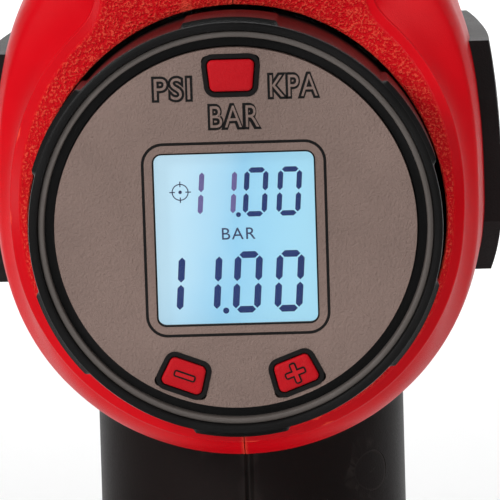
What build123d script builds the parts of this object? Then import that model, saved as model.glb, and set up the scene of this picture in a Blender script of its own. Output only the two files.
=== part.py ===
from build123d import *
import math
import os

os.makedirs("parts", exist_ok=True)

# Frame: millimetres, +Z up, floor at 0. The gauge faces -Y, the hose port faces +Y.
# A depth is measured from the gauge ring's front, a rise from the gauge axis.
AXIS_HEIGHT = 150.0  # gauge axis above the floor
NOSE_DEPTH = 143.0  # front end of the barrel
PORT_REACH = 15.0  # hose port tip beyond the barrel
OVERALL_LENGTH = NOSE_DEPTH + PORT_REACH
REAR_Y = -OVERALL_LENGTH / 2
NOSE_Y = REAR_Y + NOSE_DEPTH
RUN_GAP = 0.05  # radial gap of every running fit

# Gauge head, from the face outwards
FACE_RADIUS = 24.8
FACE_FRONT = 0.8
FACE_BACK = 6.0
FACE_GAP = 0.1
FACE_FLANGE = 1.6  # how far the flange stands out round the face
FACE_FLANGE_RADIUS = FACE_RADIUS + FACE_FLANGE
LEDGE_BORE = FACE_RADIUS + FACE_GAP
LEDGE_FRONT = 2.2
LEDGE_BACK = 4.0
GROOVE_WIDTH = 1.4  # black groove between the face and the trim
TRIM_BORE = FACE_RADIUS + GROOVE_WIDTH
TRIM_WIDTH = 0.9
TRIM_FRONT = 0.6
RING_BORE = TRIM_BORE + TRIM_WIDTH
RING_WALL = 1.4
RING_RADIUS = RING_BORE + RING_WALL
RING_BACK = 15.0
LUG_COUNT = 6
LUG_HEIGHT = 0.8
LUG_RADIUS = RING_RADIUS + LUG_HEIGHT
LUG_SWEEP = 26.0
LUG_FRONT = 1.2
OPENING_GAP = 0.3
OPENING_RADIUS = LUG_RADIUS + OPENING_GAP
GLASS_WIDTH = 22.3
GLASS_HEIGHT = 23.9
GLASS_CORNER = 1.3
GLASS_DROP = 1.4  # glass centre below the gauge axis
GLASS_FRONT = 1.2
GLASS_BACK = 3.0
PANEL_BACK = 5.0
FRAME_WIDTH = 25.3
FRAME_HEIGHT = 26.8
FRAME_CORNER = 3.0
FRAME_LINE = 0.4
BOARD_FRONT = 10.0
BOARD_THICK = 1.6
BOARD_BACK = BOARD_FRONT + BOARD_THICK
BOARD_INSET = 1.4
BOARD_RADIUS = FACE_FLANGE_RADIUS - BOARD_INSET
CUP_RADIUS = RING_RADIUS - FACE_GAP
CUP_BORE = FACE_FLANGE_RADIUS + FACE_GAP
CUP_BACK = 27.0
CUP_FLOOR = 2.0
CUP_LAP = 0.4  # how far the flange laps behind the opening
CUP_FLANGE_RADIUS = OPENING_RADIUS + CUP_LAP
CUP_FLANGE = 2.0
CUP_WIRE_RADIUS = 5.2
CUP_WIRE_RISE = -8.0
POST_RADIUS = 2.4
POST_INSET = 3.0
POST_CIRCLE = BOARD_RADIUS - POST_INSET
POST_ANGLES = (30.0, 150.0, 270.0)
BOARD_SCREW_RADIUS = 1.0
BOARD_SCREW_HEAD = 1.9
BOARD_SCREW_LENGTH = 9.0

# Barrel. Each section: depth, then how far its side, top and bottom stand out past the
# gauge opening's radius, and the rise of its own centre.
BARREL_SIDE = 6.4
PUMP_RISE = 22.0  # piston axis over the gauge axis
REAR_DEPTH = 10.0
BARREL_SECTIONS = (
    (REAR_DEPTH, 1.9, 12.4, 2.4, 0.0),
    (28.0, 5.4, 21.9, 4.9, 0.0),
    (58.0, BARREL_SIDE, 25.4, 5.9, 0.0),
    (98.0, 4.9, 17.4, 4.4, 5.0),
    (128.0, -0.6, 3.4, 0.4, 15.0),
    (NOSE_DEPTH, -8.6, -7.6, -7.6, PUMP_RISE),
)
UPPER_POWER = 2.5  # squareness of the upper half of a section
LOWER_POWER = 2.0
SECTION_POINTS = 24
WALL = 2.5
REAR_WALL = 6.0
FRONT_WALL = 3.0
BUMPER_PROUD = 2.5
BUMPER_DEPTH = 3.5  # rubber thickness
BUMPER_OUTLINE = (  # depth, rise
    (36, 22), (100, 22), (108, 14), (108, -4), (100, -12), (40, -12), (32, -4), (32, 14))
OVERALL_WIDTH = 2 * (OPENING_RADIUS + BARREL_SIDE + BUMPER_PROUD)
SCREW_RADIUS = 1.5
SCREW_HEAD_RADIUS = 2.8
SCREW_HEAD_HEIGHT = 2.0
SCREW_HEAD_GAP = 0.2
BOSS_RADIUS = 4.2
BOSS_GAP = 0.8
HEAD_SEAT = 16.0  # screw head seat, out from the split plane
SCREW_REACH = 12.0  # shank length in the left half
WIRE_HOLE_RADIUS = 9.0
WIRE_HOLE_Y = REAR_Y + 58.0
WIRE_HOLE_TOP = AXIS_HEIGHT - 20.0
WIRE_HOLE_BOTTOM = AXIS_HEIGHT - 38.0

# Buttons: outer edge width, inner edge width, height, radius and angle of the centre
BUTTON_FRONT = 0.3
BUTTON_GAP = 0.6
BUTTON_GUIDE_GAP = 0.08
BUTTON_STEP = 2.5  # depth where the cap meets its guide
BUTTON_FLANGE = 0.8
BUTTON_FLANGE_WIDE = 1.0
BUTTON_CORNER = 0.8
BUTTON_TRAVEL = 0.6
SWITCH_HALF = 2.2
SWITCH_CAP_RADIUS = 1.2
SWITCH_CAP = 0.6
UNIT_BUTTON = (7.1, 5.2, 4.3, 21.0, 90.0)
MINUS_BUTTON = (6.75, 4.3, 3.95, 21.5, -110.7)
PLUS_BUTTON = (6.75, 4.3, 3.95, 21.5, -69.3)

# Pressure sensor and its tube
SENSOR_X = 11.0
SENSOR_RISE = 16.0
SENSOR_HALF = 4.0
SENSOR_BODY = 4.4
NOZZLE_RADIUS = 1.0
NOZZLE_LENGTH = 4.0
TUBE_RADIUS = 2.0
TUBE_HOLE_RADIUS = 2.6
TUBE_RUN_X = 23.0
TUBE_LEAD = 6.0  # straight run past the cup
TUBE_TURN = 18.0  # where the tube has reached its outer run, behind the crank
TUBE_BENDS = [18.0, 18.0]

# Motor, standing on its axis
MOTOR_Y = REAR_Y + 43.0
MOTOR_RADIUS = 14.0
MOTOR_RISE = 7.0  # top of the can over the gauge axis
MOTOR_LENGTH = 37.0
MOTOR_TOP = AXIS_HEIGHT + MOTOR_RISE
MOTOR_BOTTOM = MOTOR_TOP - MOTOR_LENGTH
MOTOR_WALL = 1.2
END_CAP_HEIGHT = 4.0
MAGNET_THICK = 1.8
MAGNET_GAP = 0.5
MAGNET_SWEEP = 140.0
ARMATURE_LIFT = 10.0
ARMATURE_LENGTH = 20.0
ARMATURE_BOTTOM = MOTOR_BOTTOM + ARMATURE_LIFT
ARMATURE_TOP = ARMATURE_BOTTOM + ARMATURE_LENGTH
ARMATURE_SLOTS = 5
ARMATURE_SLOT_DEEP = 3.0
ARMATURE_SLOT_WIDE = 2.4
COMMUTATOR_RADIUS = 3.4
COMMUTATOR_GAP = 1.0
SHAFT_RADIUS = 1.15
SHAFT_PROUD = 0.5
MOTOR_BOSS_RADIUS = 4.0
MOTOR_BOSS = 1.6
MOTOR_SCREW_X = 9.0

# Gears
MODULE = 0.8
PINION_TEETH = 12
GEAR_TEETH = 52
PRESSURE_ANGLE = 20.0
BACKLASH = 0.16
TIP_FACTOR = 0.8
ROOT_FACTOR = 1.25
FLANK_STEPS = 4
GEAR_THICK = 4.5
GEAR_LIFT = 0.6
GEAR_HOLES = 5
GEAR_HOLE_RADIUS = 3.0
GEAR_HOLE_CIRCLE = 14.0
GEAR_CLEAR = 1.0  # gear tips to the cylinder
PINION_PROUD = 1.0
CENTRE_DISTANCE = MODULE * (PINION_TEETH + GEAR_TEETH) / 2
CRANK_Y = MOTOR_Y + CENTRE_DISTANCE
PLATE_THICK = 3.0
PLATE_TOP = MOTOR_TOP + PLATE_THICK
PLATE_LAP = 1.0  # plate past the motor
PLATE_HALF = 18.0
GEAR_BOTTOM = PLATE_TOP + GEAR_LIFT
GEAR_TOP = GEAR_BOTTOM + GEAR_THICK
GEAR_TIP_RADIUS = MODULE * (GEAR_TEETH / 2 + TIP_FACTOR)

# Crank, rod and piston, at the bottom of the stroke
PISTON_Z = AXIS_HEIGHT + PUMP_RISE
CRANK_RADIUS = 7.0
ROD_THICK = 5.0
CRANK_SHAFT_RADIUS = 3.0
BUSHING_RADIUS = 5.0
BUSHING_LENGTH = 10.0
BUSHING_BOTTOM = PLATE_TOP - BUSHING_LENGTH
CLIP_RADIUS = 4.2
CLIP_THICK = 0.9
CRANK_PIN_RADIUS = 2.5
CRANK_PIN_SHOULDER = 4.0
BIG_END_RADIUS = 5.5
SMALL_END_RADIUS = 4.5
WRIST_PIN_RADIUS = 2.0
WRIST_PIN_INSET = 1.0
BORE_RADIUS = 12.0
PISTON_RADIUS = BORE_RADIUS - RUN_GAP
PISTON_SKIRT = 4.5  # behind the wrist pin
PISTON_CROWN = 8.0  # ahead of the wrist pin
CROWN_THICK = 3.0
SKIRT_WALL = 3.4
SEAL_WIDTH = 2.0
SEAL_DEPTH = 1.2
SEAL_LAND = 1.0  # crown edge ahead of the seal
STROKE = 2 * CRANK_RADIUS
HEAD_CLEAR = 0.8
CYLINDER_REAR = CRANK_Y + GEAR_TIP_RADIUS + GEAR_CLEAR
WRIST_Y = CYLINDER_REAR + PISTON_SKIRT
BIG_END_Y = CRANK_Y - CRANK_RADIUS
CROWN_Y = WRIST_Y + PISTON_CROWN
CYLINDER_FRONT = CROWN_Y + STROKE + HEAD_CLEAR
CYLINDER_WALL = 1.5
CYLINDER_RADIUS = BORE_RADIUS + CYLINDER_WALL
FIN_HEIGHT = 3.0
FIN_RADIUS = CYLINDER_RADIUS + FIN_HEIGHT
FIN_COUNT = 5
FIN_THICK = 1.2
FIN_PITCH = 3.2
FRAME_WALL = 4.0
FLANGE_HEIGHT = 3.5
FLANGE_RADIUS = CYLINDER_RADIUS + FLANGE_HEIGHT
FLANGE_THICK = 3.0
GASKET_THICK = 0.5
HEAD_THICK = 7.0
HEAD_FRONT = CYLINDER_FRONT + GASKET_THICK + HEAD_THICK
HEAD_BOLTS = 4
HEAD_BOLT_INSET = 2.1
HEAD_BOLT_CIRCLE = FLANGE_RADIUS - HEAD_BOLT_INSET
HEAD_BOLT_RADIUS = 1.2
HEAD_BOLT_HEAD = 2.0
ELBOW_HALF = 2.6
BARREL_SCREWS = (  # depth, rise
    (35.0, 40.0), (99.0, PUMP_RISE + FLANGE_RADIUS + BOSS_GAP + BOSS_RADIUS), (111.0, -12.0), (77.0, -22.0))

# Hose port
PORT_TIP = OVERALL_LENGTH / 2
PORT_THREAD_RADIUS = 4.3
PORT_THREAD_LENGTH = 9.0
PORT_RADIUS = 9.0
PORT_HEX = 7.4  # apothem of the spanner flats
PORT_INSET = 8.0
PORT_BACK = NOSE_Y - PORT_INSET
OUTLET_RADIUS = 3.5
OUTLET_BORE = 2.0
COLLAR_SPIGOT = 12.0
COLLAR_FLANGE = 14.6
COLLAR_PROUD = 3.2
COLLAR_GAP = 0.3
PORT_SHOULDER = NOSE_Y + COLLAR_PROUD + COLLAR_GAP
LAMP_HALF_WIDTH = 6.5
LAMP_RISE = 2.0
LAMP_HEIGHT = 4.2
LAMP_BOTTOM = AXIS_HEIGHT + LAMP_RISE
LAMP_TOP = LAMP_BOTTOM + LAMP_HEIGHT
LAMP_PROUD = 0.8
LAMP_BOARD_THICK = 1.2

# Battery, from the cells outwards
CELL_RADIUS = 9.1
CELL_LENGTH = 65.0
CELL_SPACING = 0.02
CELL_GAP = 0.07
CELL_CIRCLE = 2 * CELL_RADIUS / math.sqrt(3) + CELL_SPACING
CASE_BORE = CELL_CIRCLE + CELL_RADIUS + CELL_GAP
CASE_WALL = 1.0
CASE_RADIUS = CASE_BORE + CASE_WALL
CASE_BOTTOM = 8.0
CASE_END = 1.6
CASE_HEADROOM = 3.8
CASE_TOP = CASE_BOTTOM + 2 * CASE_END + CELL_LENGTH + CASE_HEADROOM
TOWER_HEIGHT = 6.0
TOWER_TOP = CASE_TOP + TOWER_HEIGHT
TOWER_HALF_X = 9.0
TOWER_HALF_Y = 5.0

# Grip, built on an axis raked back towards the floor. Each section: distance up the
# axis, then its wall at the side and at the front and back.
RAKE = 6.0
GRIP_Y = REAR_Y + 45.1  # grip axis on the floor plane
CASE_GAP = 0.25
GRIP_BORE = CASE_RADIUS + CASE_GAP
GRIP_TOP = AXIS_HEIGHT - 15.0
GRIP_SECTIONS = ((20.0, 2.35, 3.65), (75.0, 2.25, 2.35), (GRIP_TOP, 2.35, 4.05))
GRIP_SCREW_BACK = 14.9  # behind the grip axis
GRIP_SCREW_RISES = (-53.0, -42.0)
GRIP_HEAD_SEAT = 11.0
GRIP_SCREW_REACH = 9.0
TERMINAL_GAP = 0.4
TERMINAL_BOTTOM = TOWER_TOP + TERMINAL_GAP
TERMINAL_THICK = 3.6
BLADE_X = 5.0
BLADE_HALF = 0.4
BLADE_WIDTH = 6.0
BLADE_REACH = 4.9
BLADE_BOTTOM = TERMINAL_BOTTOM - BLADE_REACH
CONTACT_THICK = 0.3
SLOT_GAP = 0.3  # round the edges and tip of a blade
SLOT_HALF = BLADE_HALF + RUN_GAP + CONTACT_THICK

# Trigger. Its reaches are forwards from the grip axis at the trigger's own height.
TRIGGER_HALF = 9.8
TRIGGER_GAP = 0.3
TRIGGER_TOP = AXIS_HEIGHT - 38.0
TRIGGER_HEIGHT = 19.5
TRIGGER_BOTTOM = TRIGGER_TOP - TRIGGER_HEIGHT
TRIGGER_MID = (TRIGGER_TOP + TRIGGER_BOTTOM) / 2
TRIGGER_AXIS_Y = GRIP_Y + TRIGGER_MID * math.tan(math.radians(RAKE))
TRIGGER_BACK = TRIGGER_AXIS_Y + 10.15
NOSE_LOW_Y = TRIGGER_AXIS_Y + 27.65
NOSE_MID_Y = TRIGGER_AXIS_Y + 27.95
NOSE_HIGH_Y = TRIGGER_AXIS_Y + 31.65
TRIGGER_FLANGE = 2.5
TRIGGER_FLANGE_HALF = 12.0
TRIGGER_FLANGE_RISE = 1.2
TRIGGER_TRAVEL = 5.0
STEM_RADIUS = 2.0
STEM_LENGTH = 6.4
STEM_GAP = 0.3
SWITCH_REST = 0.8  # trigger to switch when pulled
SWITCH_DEPTH = 9.7
SWITCH_FRONT = TRIGGER_BACK - TRIGGER_TRAVEL - SWITCH_REST
SWITCH_BACK = SWITCH_FRONT - SWITCH_DEPTH
SWITCH_BODY_HALF = 7.0
SWITCH_FLOOR = 2.0
SWITCH_HEIGHT = 14.0
SWITCH_BOTTOM = TRIGGER_MID - SWITCH_HEIGHT / 2
SWITCH_TOP = TRIGGER_MID + SWITCH_HEIGHT / 2
RIB_INSET = 3.0  # rib edges in from the switch's corners

# Latches, one each side of the foot
FOOT_SLEEVE = 1.6
LATCH_TRAVEL = 2.0
LATCH_GAP = 0.3
LATCH_Y = REAR_Y + 48.0
TONGUE_IN = CASE_RADIUS + FOOT_SLEEVE + LATCH_TRAVEL + LATCH_GAP
TONGUE_THICK = 1.8
TONGUE_OUT = TONGUE_IN + TONGUE_THICK
TONGUE_HALF = 4.0
LATCH_NECK = 3.0
LATCH_PAD_IN = TONGUE_IN + LATCH_NECK
LATCH_PAD_THICK = 3.0
LATCH_PAD_OUT = LATCH_PAD_IN + LATCH_PAD_THICK
LATCH_PAD_PROUD = 0.6
LATCH_PAD_HALF = 7.0
LATCH_PAD_BOTTOM = 12.0
LATCH_PAD_TOP = 24.0
LATCH_STEP = 2.0  # neck inside the ends of the pad
HOOK_REACH = 3.4
HOOK_OUT = TONGUE_IN + HOOK_REACH

# Battery foot, and the flared base of the grip above it
FOOT_WIDTH = 2 * (LATCH_PAD_OUT - LATCH_PAD_PROUD)
FOOT_LENGTH = 70.0
FOOT_CORNER = 14.0
FOOT_CHAMFER = 2.0
FOOT_TOP = 28.0
FOOT_Y = REAR_Y + 52.0
FOOT_WALL = 2.6
FOOT_GAP = 0.3
GRIP_BOTTOM = FOOT_TOP + FOOT_GAP
BASE_HEIGHT = 6.7
BASE_TOP = GRIP_BOTTOM + BASE_HEIGHT
BASE_INSET_X = 1.0
BASE_INSET_Y = 4.0
BASE_CORNER = 15.0
HOOK_LIFT = 2.9
HOOK_THICK = 2.0
HOOK_BOTTOM = GRIP_BOTTOM + HOOK_LIFT
HOOK_TOP = HOOK_BOTTOM + HOOK_THICK
BMS_THICK = 1.6
BMS_HALF = 20.0
BMS_LENGTH = 6.8


def back_of(depth):
    """Y of a plane this far behind the ring front."""
    return REAR_Y + depth


def pod_plane(depth, x=0.0, rise=0.0):
    """Plane square to the gauge axis, facing the user."""
    return Plane(origin=(x, back_of(depth), AXIS_HEIGHT + rise), x_dir=(1, 0, 0), z_dir=(0, -1, 0))


def disc(radius, front, back, x=0.0, rise=0.0, mode=Mode.ADD):
    """Round slab on the gauge axis, between two depths."""
    with Locations(pod_plane(back, x, rise)):
        Cylinder(radius, back - front, align=(Align.CENTER, Align.CENTER, Align.MIN), mode=mode)


def rod_y(radius, y_from, y_to, x=0.0, z=PISTON_Z, mode=Mode.ADD):
    """Round bar along Y."""
    with Locations(Plane(origin=(x, y_from, z), x_dir=(1, 0, 0), z_dir=(0, 1, 0))):
        Cylinder(radius, y_to - y_from, align=(Align.CENTER, Align.CENTER, Align.MIN), mode=mode)


def rod_z(radius, z_from, z_to, x=0.0, y=0.0, mode=Mode.ADD):
    """Round bar along Z."""
    with Locations((x, y, z_from)):
        Cylinder(radius, z_to - z_from, align=(Align.CENTER, Align.CENTER, Align.MIN), mode=mode)


def rod_x(radius, x_from, x_to, y, z, mode=Mode.ADD):
    """Round bar along X."""
    with Locations(Plane(origin=(x_from, y, z), x_dir=(0, 1, 0), z_dir=(1, 0, 0))):
        Cylinder(radius, x_to - x_from, align=(Align.CENTER, Align.CENTER, Align.MIN), mode=mode)


def block(low, high, mode=Mode.ADD):
    """Box between two corners."""
    size = [b - a for a, b in zip(low, high)]
    with Locations(tuple(low)):
        Box(*size, align=(Align.MIN, Align.MIN, Align.MIN), mode=mode)


def grip_plane(along):
    """Plane square to the grip axis, this far up it from the floor."""
    lean = math.radians(RAKE)
    axis = (0.0, math.sin(lean), math.cos(lean))
    return Plane(origin=(0, GRIP_Y + along * axis[1], along * axis[2]), x_dir=(1, 0, 0), z_dir=axis)


def grip_disc(radius, low, high, x=0.0, y=0.0, mode=Mode.ADD):
    """Round bar along the grip axis."""
    with Locations(grip_plane(low)):
        with Locations((x, y, 0)):
            Cylinder(radius, high - low, align=(Align.CENTER, Align.CENTER, Align.MIN), mode=mode)


def grip_box(half_x, half_y, low, high, x=0.0, mode=Mode.ADD):
    """Box on the grip axis."""
    with Locations(grip_plane(low)):
        with Locations((x, 0, 0)):
            Box(2 * half_x, 2 * half_y, high - low,
                align=(Align.CENTER, Align.CENTER, Align.MIN), mode=mode)


def section_points(half, top, bottom, rise, inset):
    """Closed run of points round one barrel section, moved in by inset."""
    points = []
    for index in range(SECTION_POINTS):
        angle = 2 * math.pi * index / SECTION_POINTS
        across, up = math.cos(angle), math.sin(angle)
        height = top if up >= 0 else bottom
        power = UPPER_POWER if up >= 0 else LOWER_POWER
        reach = (abs(across / (half - inset)) ** power
                 + abs(up / (height - inset)) ** power) ** (-1 / power)
        points.append((reach * across, rise + reach * up))
    return points


def barrel_form(inset):
    """Solid barrel, every section moved in by inset."""
    with BuildPart() as form:
        for depth, side, above, below, rise in BARREL_SECTIONS:
            reach = [OPENING_RADIUS + extra for extra in (side, above, below)]
            with BuildSketch(pod_plane(depth)):
                with BuildLine():
                    Spline(section_points(*reach, rise, inset), periodic=True)
                make_face()
        loft()
    return form.part


def involute(angle):
    """Involute function of an angle in radians."""
    return math.tan(angle) - angle


def gear_outline(teeth, phase):
    """Points round an involute gear with a tooth centred on phase degrees."""
    pitch = MODULE * teeth / 2
    base = pitch * math.cos(math.radians(PRESSURE_ANGLE))
    root = pitch - ROOT_FACTOR * MODULE
    tip = pitch + TIP_FACTOR * MODULE
    half = math.pi / (2 * teeth) - BACKLASH / (2 * pitch) + involute(math.radians(PRESSURE_ANGLE))
    start = max(root, base)
    flank = [start + (tip - start) * step / FLANK_STEPS for step in range(FLANK_STEPS + 1)]
    turns = [half - involute(math.acos(min(1.0, base / radius))) for radius in flank]
    if root < base:
        flank.insert(0, root)
        turns.insert(0, turns[0])
    points = []
    for tooth in range(teeth):
        centre = math.radians(phase) + 2 * math.pi * tooth / teeth
        run = [(radius, centre - turn) for radius, turn in zip(flank, turns)]
        run += [(radius, centre + turn) for radius, turn in zip(reversed(flank), reversed(turns))]
        points += [(radius * math.cos(turn), radius * math.sin(turn)) for radius, turn in run]
    return points


def button_corners(outer, inner, height, grow):
    """Corners of a button, outer edge first, grown all round."""
    top, low = outer / 2 + grow, inner / 2 + grow
    half = height / 2 + grow
    return [(-top, half), (top, half), (low, -half), (-low, -half)]


def button_place(button, depth):
    """Plane at a button's centre with its outer edge away from the gauge axis."""
    radius, angle = button[3], math.radians(button[4])
    turn = angle - math.pi / 2
    centre = pod_plane(depth, radius * math.cos(angle), radius * math.sin(angle))
    return Plane(origin=centre.origin, x_dir=(math.cos(turn), 0, math.sin(turn)), z_dir=(0, -1, 0))


def head_bolts(radius, y_from, y_to, mode=Mode.ADD):
    """Bars at the cylinder head's bolts."""
    for turn in range(HEAD_BOLTS):
        angle = 2 * math.pi * (turn + 0.5) / HEAD_BOLTS
        rod_y(radius, y_from, y_to, HEAD_BOLT_CIRCLE * math.cos(angle),
              PISTON_Z + HEAD_BOLT_CIRCLE * math.sin(angle), mode=mode)


def save(piece, name):
    """Label one sub-part and write its STEP file."""
    piece.part.label = name
    export_step(piece.part, f"parts/{name}.step")


# ---------------------------------------------------------------- barrel halves
OUTER = barrel_form(0.0)
INNER = barrel_form(WALL)
SKIN_OUT = barrel_form(-BUMPER_PROUD)
SKIN_IN = barrel_form(BUMPER_DEPTH - BUMPER_PROUD)

with BuildPart() as cavity:
    add(INNER)
    block((-OVERALL_WIDTH, back_of(REAR_DEPTH + REAR_WALL), 0),
          (OVERALL_WIDTH, back_of(NOSE_DEPTH - FRONT_WALL), 2 * AXIS_HEIGHT), mode=Mode.INTERSECT)
CAVITY = cavity.part
SCREW_PLACES = [(back_of(depth), AXIS_HEIGHT + rise) for depth, rise in BARREL_SCREWS]


def bumper_band(side):
    """Rubber pad wrapped on one side of the barrel."""
    with BuildPart() as band:
        add(SKIN_OUT)
        add(SKIN_IN, mode=Mode.SUBTRACT)
        with BuildPart(mode=Mode.INTERSECT):
            with BuildSketch(Plane(origin=(0, 0, 0), x_dir=(0, 1, 0), z_dir=(1, 0, 0))):
                with BuildLine():
                    Polyline([(back_of(depth), AXIS_HEIGHT + rise) for depth, rise in BUMPER_OUTLINE],
                             close=True)
                make_face()
            extrude(amount=side * OVERALL_WIDTH)
    return band


BUMPERS = {"right": bumper_band(1), "left": bumper_band(-1)}

with BuildPart() as screw_bosses:
    for y, z in SCREW_PLACES:
        rod_x(BOSS_RADIUS, -OVERALL_WIDTH / 2, OVERALL_WIDTH / 2, y, z)
    add(OUTER, mode=Mode.INTERSECT)

with BuildPart() as barrel_shell:
    add(OUTER)
    add(CAVITY, mode=Mode.SUBTRACT)
    add(screw_bosses.part)
    disc(OPENING_RADIUS, REAR_DEPTH, REAR_DEPTH + REAR_WALL, mode=Mode.SUBTRACT)
    disc(COLLAR_SPIGOT, NOSE_DEPTH - FRONT_WALL, NOSE_DEPTH, rise=PUMP_RISE, mode=Mode.SUBTRACT)
    block((-LAMP_HALF_WIDTH, back_of(NOSE_DEPTH - FRONT_WALL), LAMP_BOTTOM),
          (LAMP_HALF_WIDTH, back_of(NOSE_DEPTH), LAMP_TOP), mode=Mode.SUBTRACT)
    rod_z(WIRE_HOLE_RADIUS, WIRE_HOLE_BOTTOM, WIRE_HOLE_TOP, y=WIRE_HOLE_Y, mode=Mode.SUBTRACT)
    for y, z in SCREW_PLACES:
        rod_x(SCREW_RADIUS, -SCREW_REACH, HEAD_SEAT, y, z, mode=Mode.SUBTRACT)
        rod_x(SCREW_HEAD_RADIUS + SCREW_HEAD_GAP, HEAD_SEAT, OVERALL_WIDTH, y, z, mode=Mode.SUBTRACT)
    for side_band in BUMPERS.values():
        add(side_band.part, mode=Mode.SUBTRACT)

with BuildPart() as housing_right:
    add(barrel_shell.part)
    split(bisect_by=Plane.YZ, keep=Keep.TOP)
save(housing_right, "housing_right")

with BuildPart() as housing_left:
    add(barrel_shell.part)
    split(bisect_by=Plane.YZ, keep=Keep.BOTTOM)
save(housing_left, "housing_left")

save(BUMPERS["right"], "bumper_right")
save(BUMPERS["left"], "bumper_left")

with BuildPart() as housing_screws:
    for y, z in SCREW_PLACES:
        rod_x(SCREW_RADIUS, -SCREW_REACH, HEAD_SEAT, y, z)
        rod_x(SCREW_HEAD_RADIUS, HEAD_SEAT, HEAD_SEAT + SCREW_HEAD_HEIGHT, y, z)
save(housing_screws, "housing_screws")

# ---------------------------------------------------------------- grip halves
GRIP_SCREWS = [(GRIP_Y + (AXIS_HEIGHT + rise) * math.tan(math.radians(RAKE)) - GRIP_SCREW_BACK,
                AXIS_HEIGHT + rise) for rise in GRIP_SCREW_RISES]

with BuildPart() as grip_shell:
    for along, side, ends in GRIP_SECTIONS:
        with BuildSketch(grip_plane(along)):
            Ellipse(GRIP_BORE + side, GRIP_BORE + ends)
    loft()
    with BuildSketch(Plane.XY.offset(GRIP_BOTTOM)):
        with Locations((0, FOOT_Y)):
            RectangleRounded(FOOT_WIDTH - 2 * BASE_INSET_X, FOOT_LENGTH - 2 * BASE_INSET_Y, BASE_CORNER)
    extrude(amount=BASE_TOP - GRIP_BOTTOM)
    block((-FOOT_WIDTH, FOOT_Y - FOOT_LENGTH, 0), (FOOT_WIDTH, FOOT_Y + FOOT_LENGTH, GRIP_BOTTOM),
          mode=Mode.SUBTRACT)
    grip_disc(GRIP_BORE, 0, GRIP_SECTIONS[-1][0], mode=Mode.SUBTRACT)
    add(OUTER, mode=Mode.SUBTRACT)
    block((-TRIGGER_HALF - TRIGGER_GAP, TRIGGER_BACK, TRIGGER_BOTTOM - TRIGGER_GAP),
          (TRIGGER_HALF + TRIGGER_GAP, NOSE_HIGH_Y, TRIGGER_TOP + TRIGGER_GAP), mode=Mode.SUBTRACT)
    for side in (-1, 1):
        inner, outer = sorted((side * (TONGUE_IN - LATCH_TRAVEL - LATCH_GAP), side * (TONGUE_OUT + LATCH_GAP)))
        block((inner, LATCH_Y - TONGUE_HALF - LATCH_GAP, GRIP_BOTTOM),
              (outer, LATCH_Y + TONGUE_HALF + LATCH_GAP, HOOK_TOP + LATCH_GAP), mode=Mode.SUBTRACT)
        inner, outer = sorted((side * TONGUE_IN, side * (HOOK_OUT + LATCH_GAP)))
        block((inner, LATCH_Y - TONGUE_HALF - LATCH_GAP, HOOK_BOTTOM - LATCH_GAP),
              (outer, LATCH_Y + TONGUE_HALF + LATCH_GAP, HOOK_TOP + LATCH_GAP), mode=Mode.SUBTRACT)

with BuildPart() as grip_inside:
    for y, z in GRIP_SCREWS:
        rod_x(BOSS_RADIUS, -FOOT_WIDTH, FOOT_WIDTH, y, z)
    block((SWITCH_BODY_HALF, SWITCH_BACK + RIB_INSET, SWITCH_BOTTOM + RIB_INSET),
          (FOOT_WIDTH, SWITCH_FRONT - RIB_INSET, SWITCH_TOP - RIB_INSET))
    block((-FOOT_WIDTH, SWITCH_BACK + RIB_INSET, SWITCH_BOTTOM + RIB_INSET),
          (-SWITCH_BODY_HALF, SWITCH_FRONT - RIB_INSET, SWITCH_TOP - RIB_INSET))
    grip_disc(GRIP_BORE, 0, GRIP_SECTIONS[-1][0], mode=Mode.INTERSECT)

with BuildPart() as grip_full:
    add(grip_shell.part)
    add(grip_inside.part)
    for y, z in GRIP_SCREWS:
        rod_x(SCREW_RADIUS, -GRIP_SCREW_REACH, GRIP_HEAD_SEAT, y, z, mode=Mode.SUBTRACT)
        rod_x(SCREW_HEAD_RADIUS + SCREW_HEAD_GAP, GRIP_HEAD_SEAT, FOOT_WIDTH, y, z, mode=Mode.SUBTRACT)

with BuildPart() as handle_right:
    add(grip_full.part)
    split(bisect_by=Plane.YZ, keep=Keep.TOP)
save(handle_right, "handle_right")

with BuildPart() as handle_left:
    add(grip_full.part)
    split(bisect_by=Plane.YZ, keep=Keep.BOTTOM)
save(handle_left, "handle_left")

with BuildPart() as handle_screws:
    for y, z in GRIP_SCREWS:
        rod_x(SCREW_RADIUS, -GRIP_SCREW_REACH, GRIP_HEAD_SEAT, y, z)
        rod_x(SCREW_HEAD_RADIUS, GRIP_HEAD_SEAT, GRIP_HEAD_SEAT + SCREW_HEAD_HEIGHT, y, z)
save(handle_screws, "handle_screws")

# ---------------------------------------------------------------- gauge head
with BuildPart() as bezel_ring:
    disc(RING_RADIUS, 0, RING_BACK)
    for lug in range(LUG_COUNT):
        middle = 360.0 / LUG_COUNT * (lug + 0.5)
        with BuildSketch(pod_plane(RING_BACK)):
            with BuildLine():
                edge = CenterArc((0, 0), LUG_RADIUS, middle - LUG_SWEEP / 2, LUG_SWEEP)
                Line(edge @ 1, (0, 0))
                Line((0, 0), edge @ 0)
            make_face()
        extrude(amount=RING_BACK - LUG_FRONT)
    disc(RING_BORE, 0, LEDGE_FRONT, mode=Mode.SUBTRACT)
    disc(LEDGE_BORE, 0, RING_BACK, mode=Mode.SUBTRACT)
    disc(FACE_FLANGE_RADIUS, LEDGE_BACK, RING_BACK, mode=Mode.SUBTRACT)
save(bezel_ring, "bezel_ring")

with BuildPart() as bezel_trim:
    disc(RING_BORE, TRIM_FRONT, LEDGE_FRONT)
    disc(TRIM_BORE, TRIM_FRONT, LEDGE_FRONT, mode=Mode.SUBTRACT)
save(bezel_trim, "bezel_trim")

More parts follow.
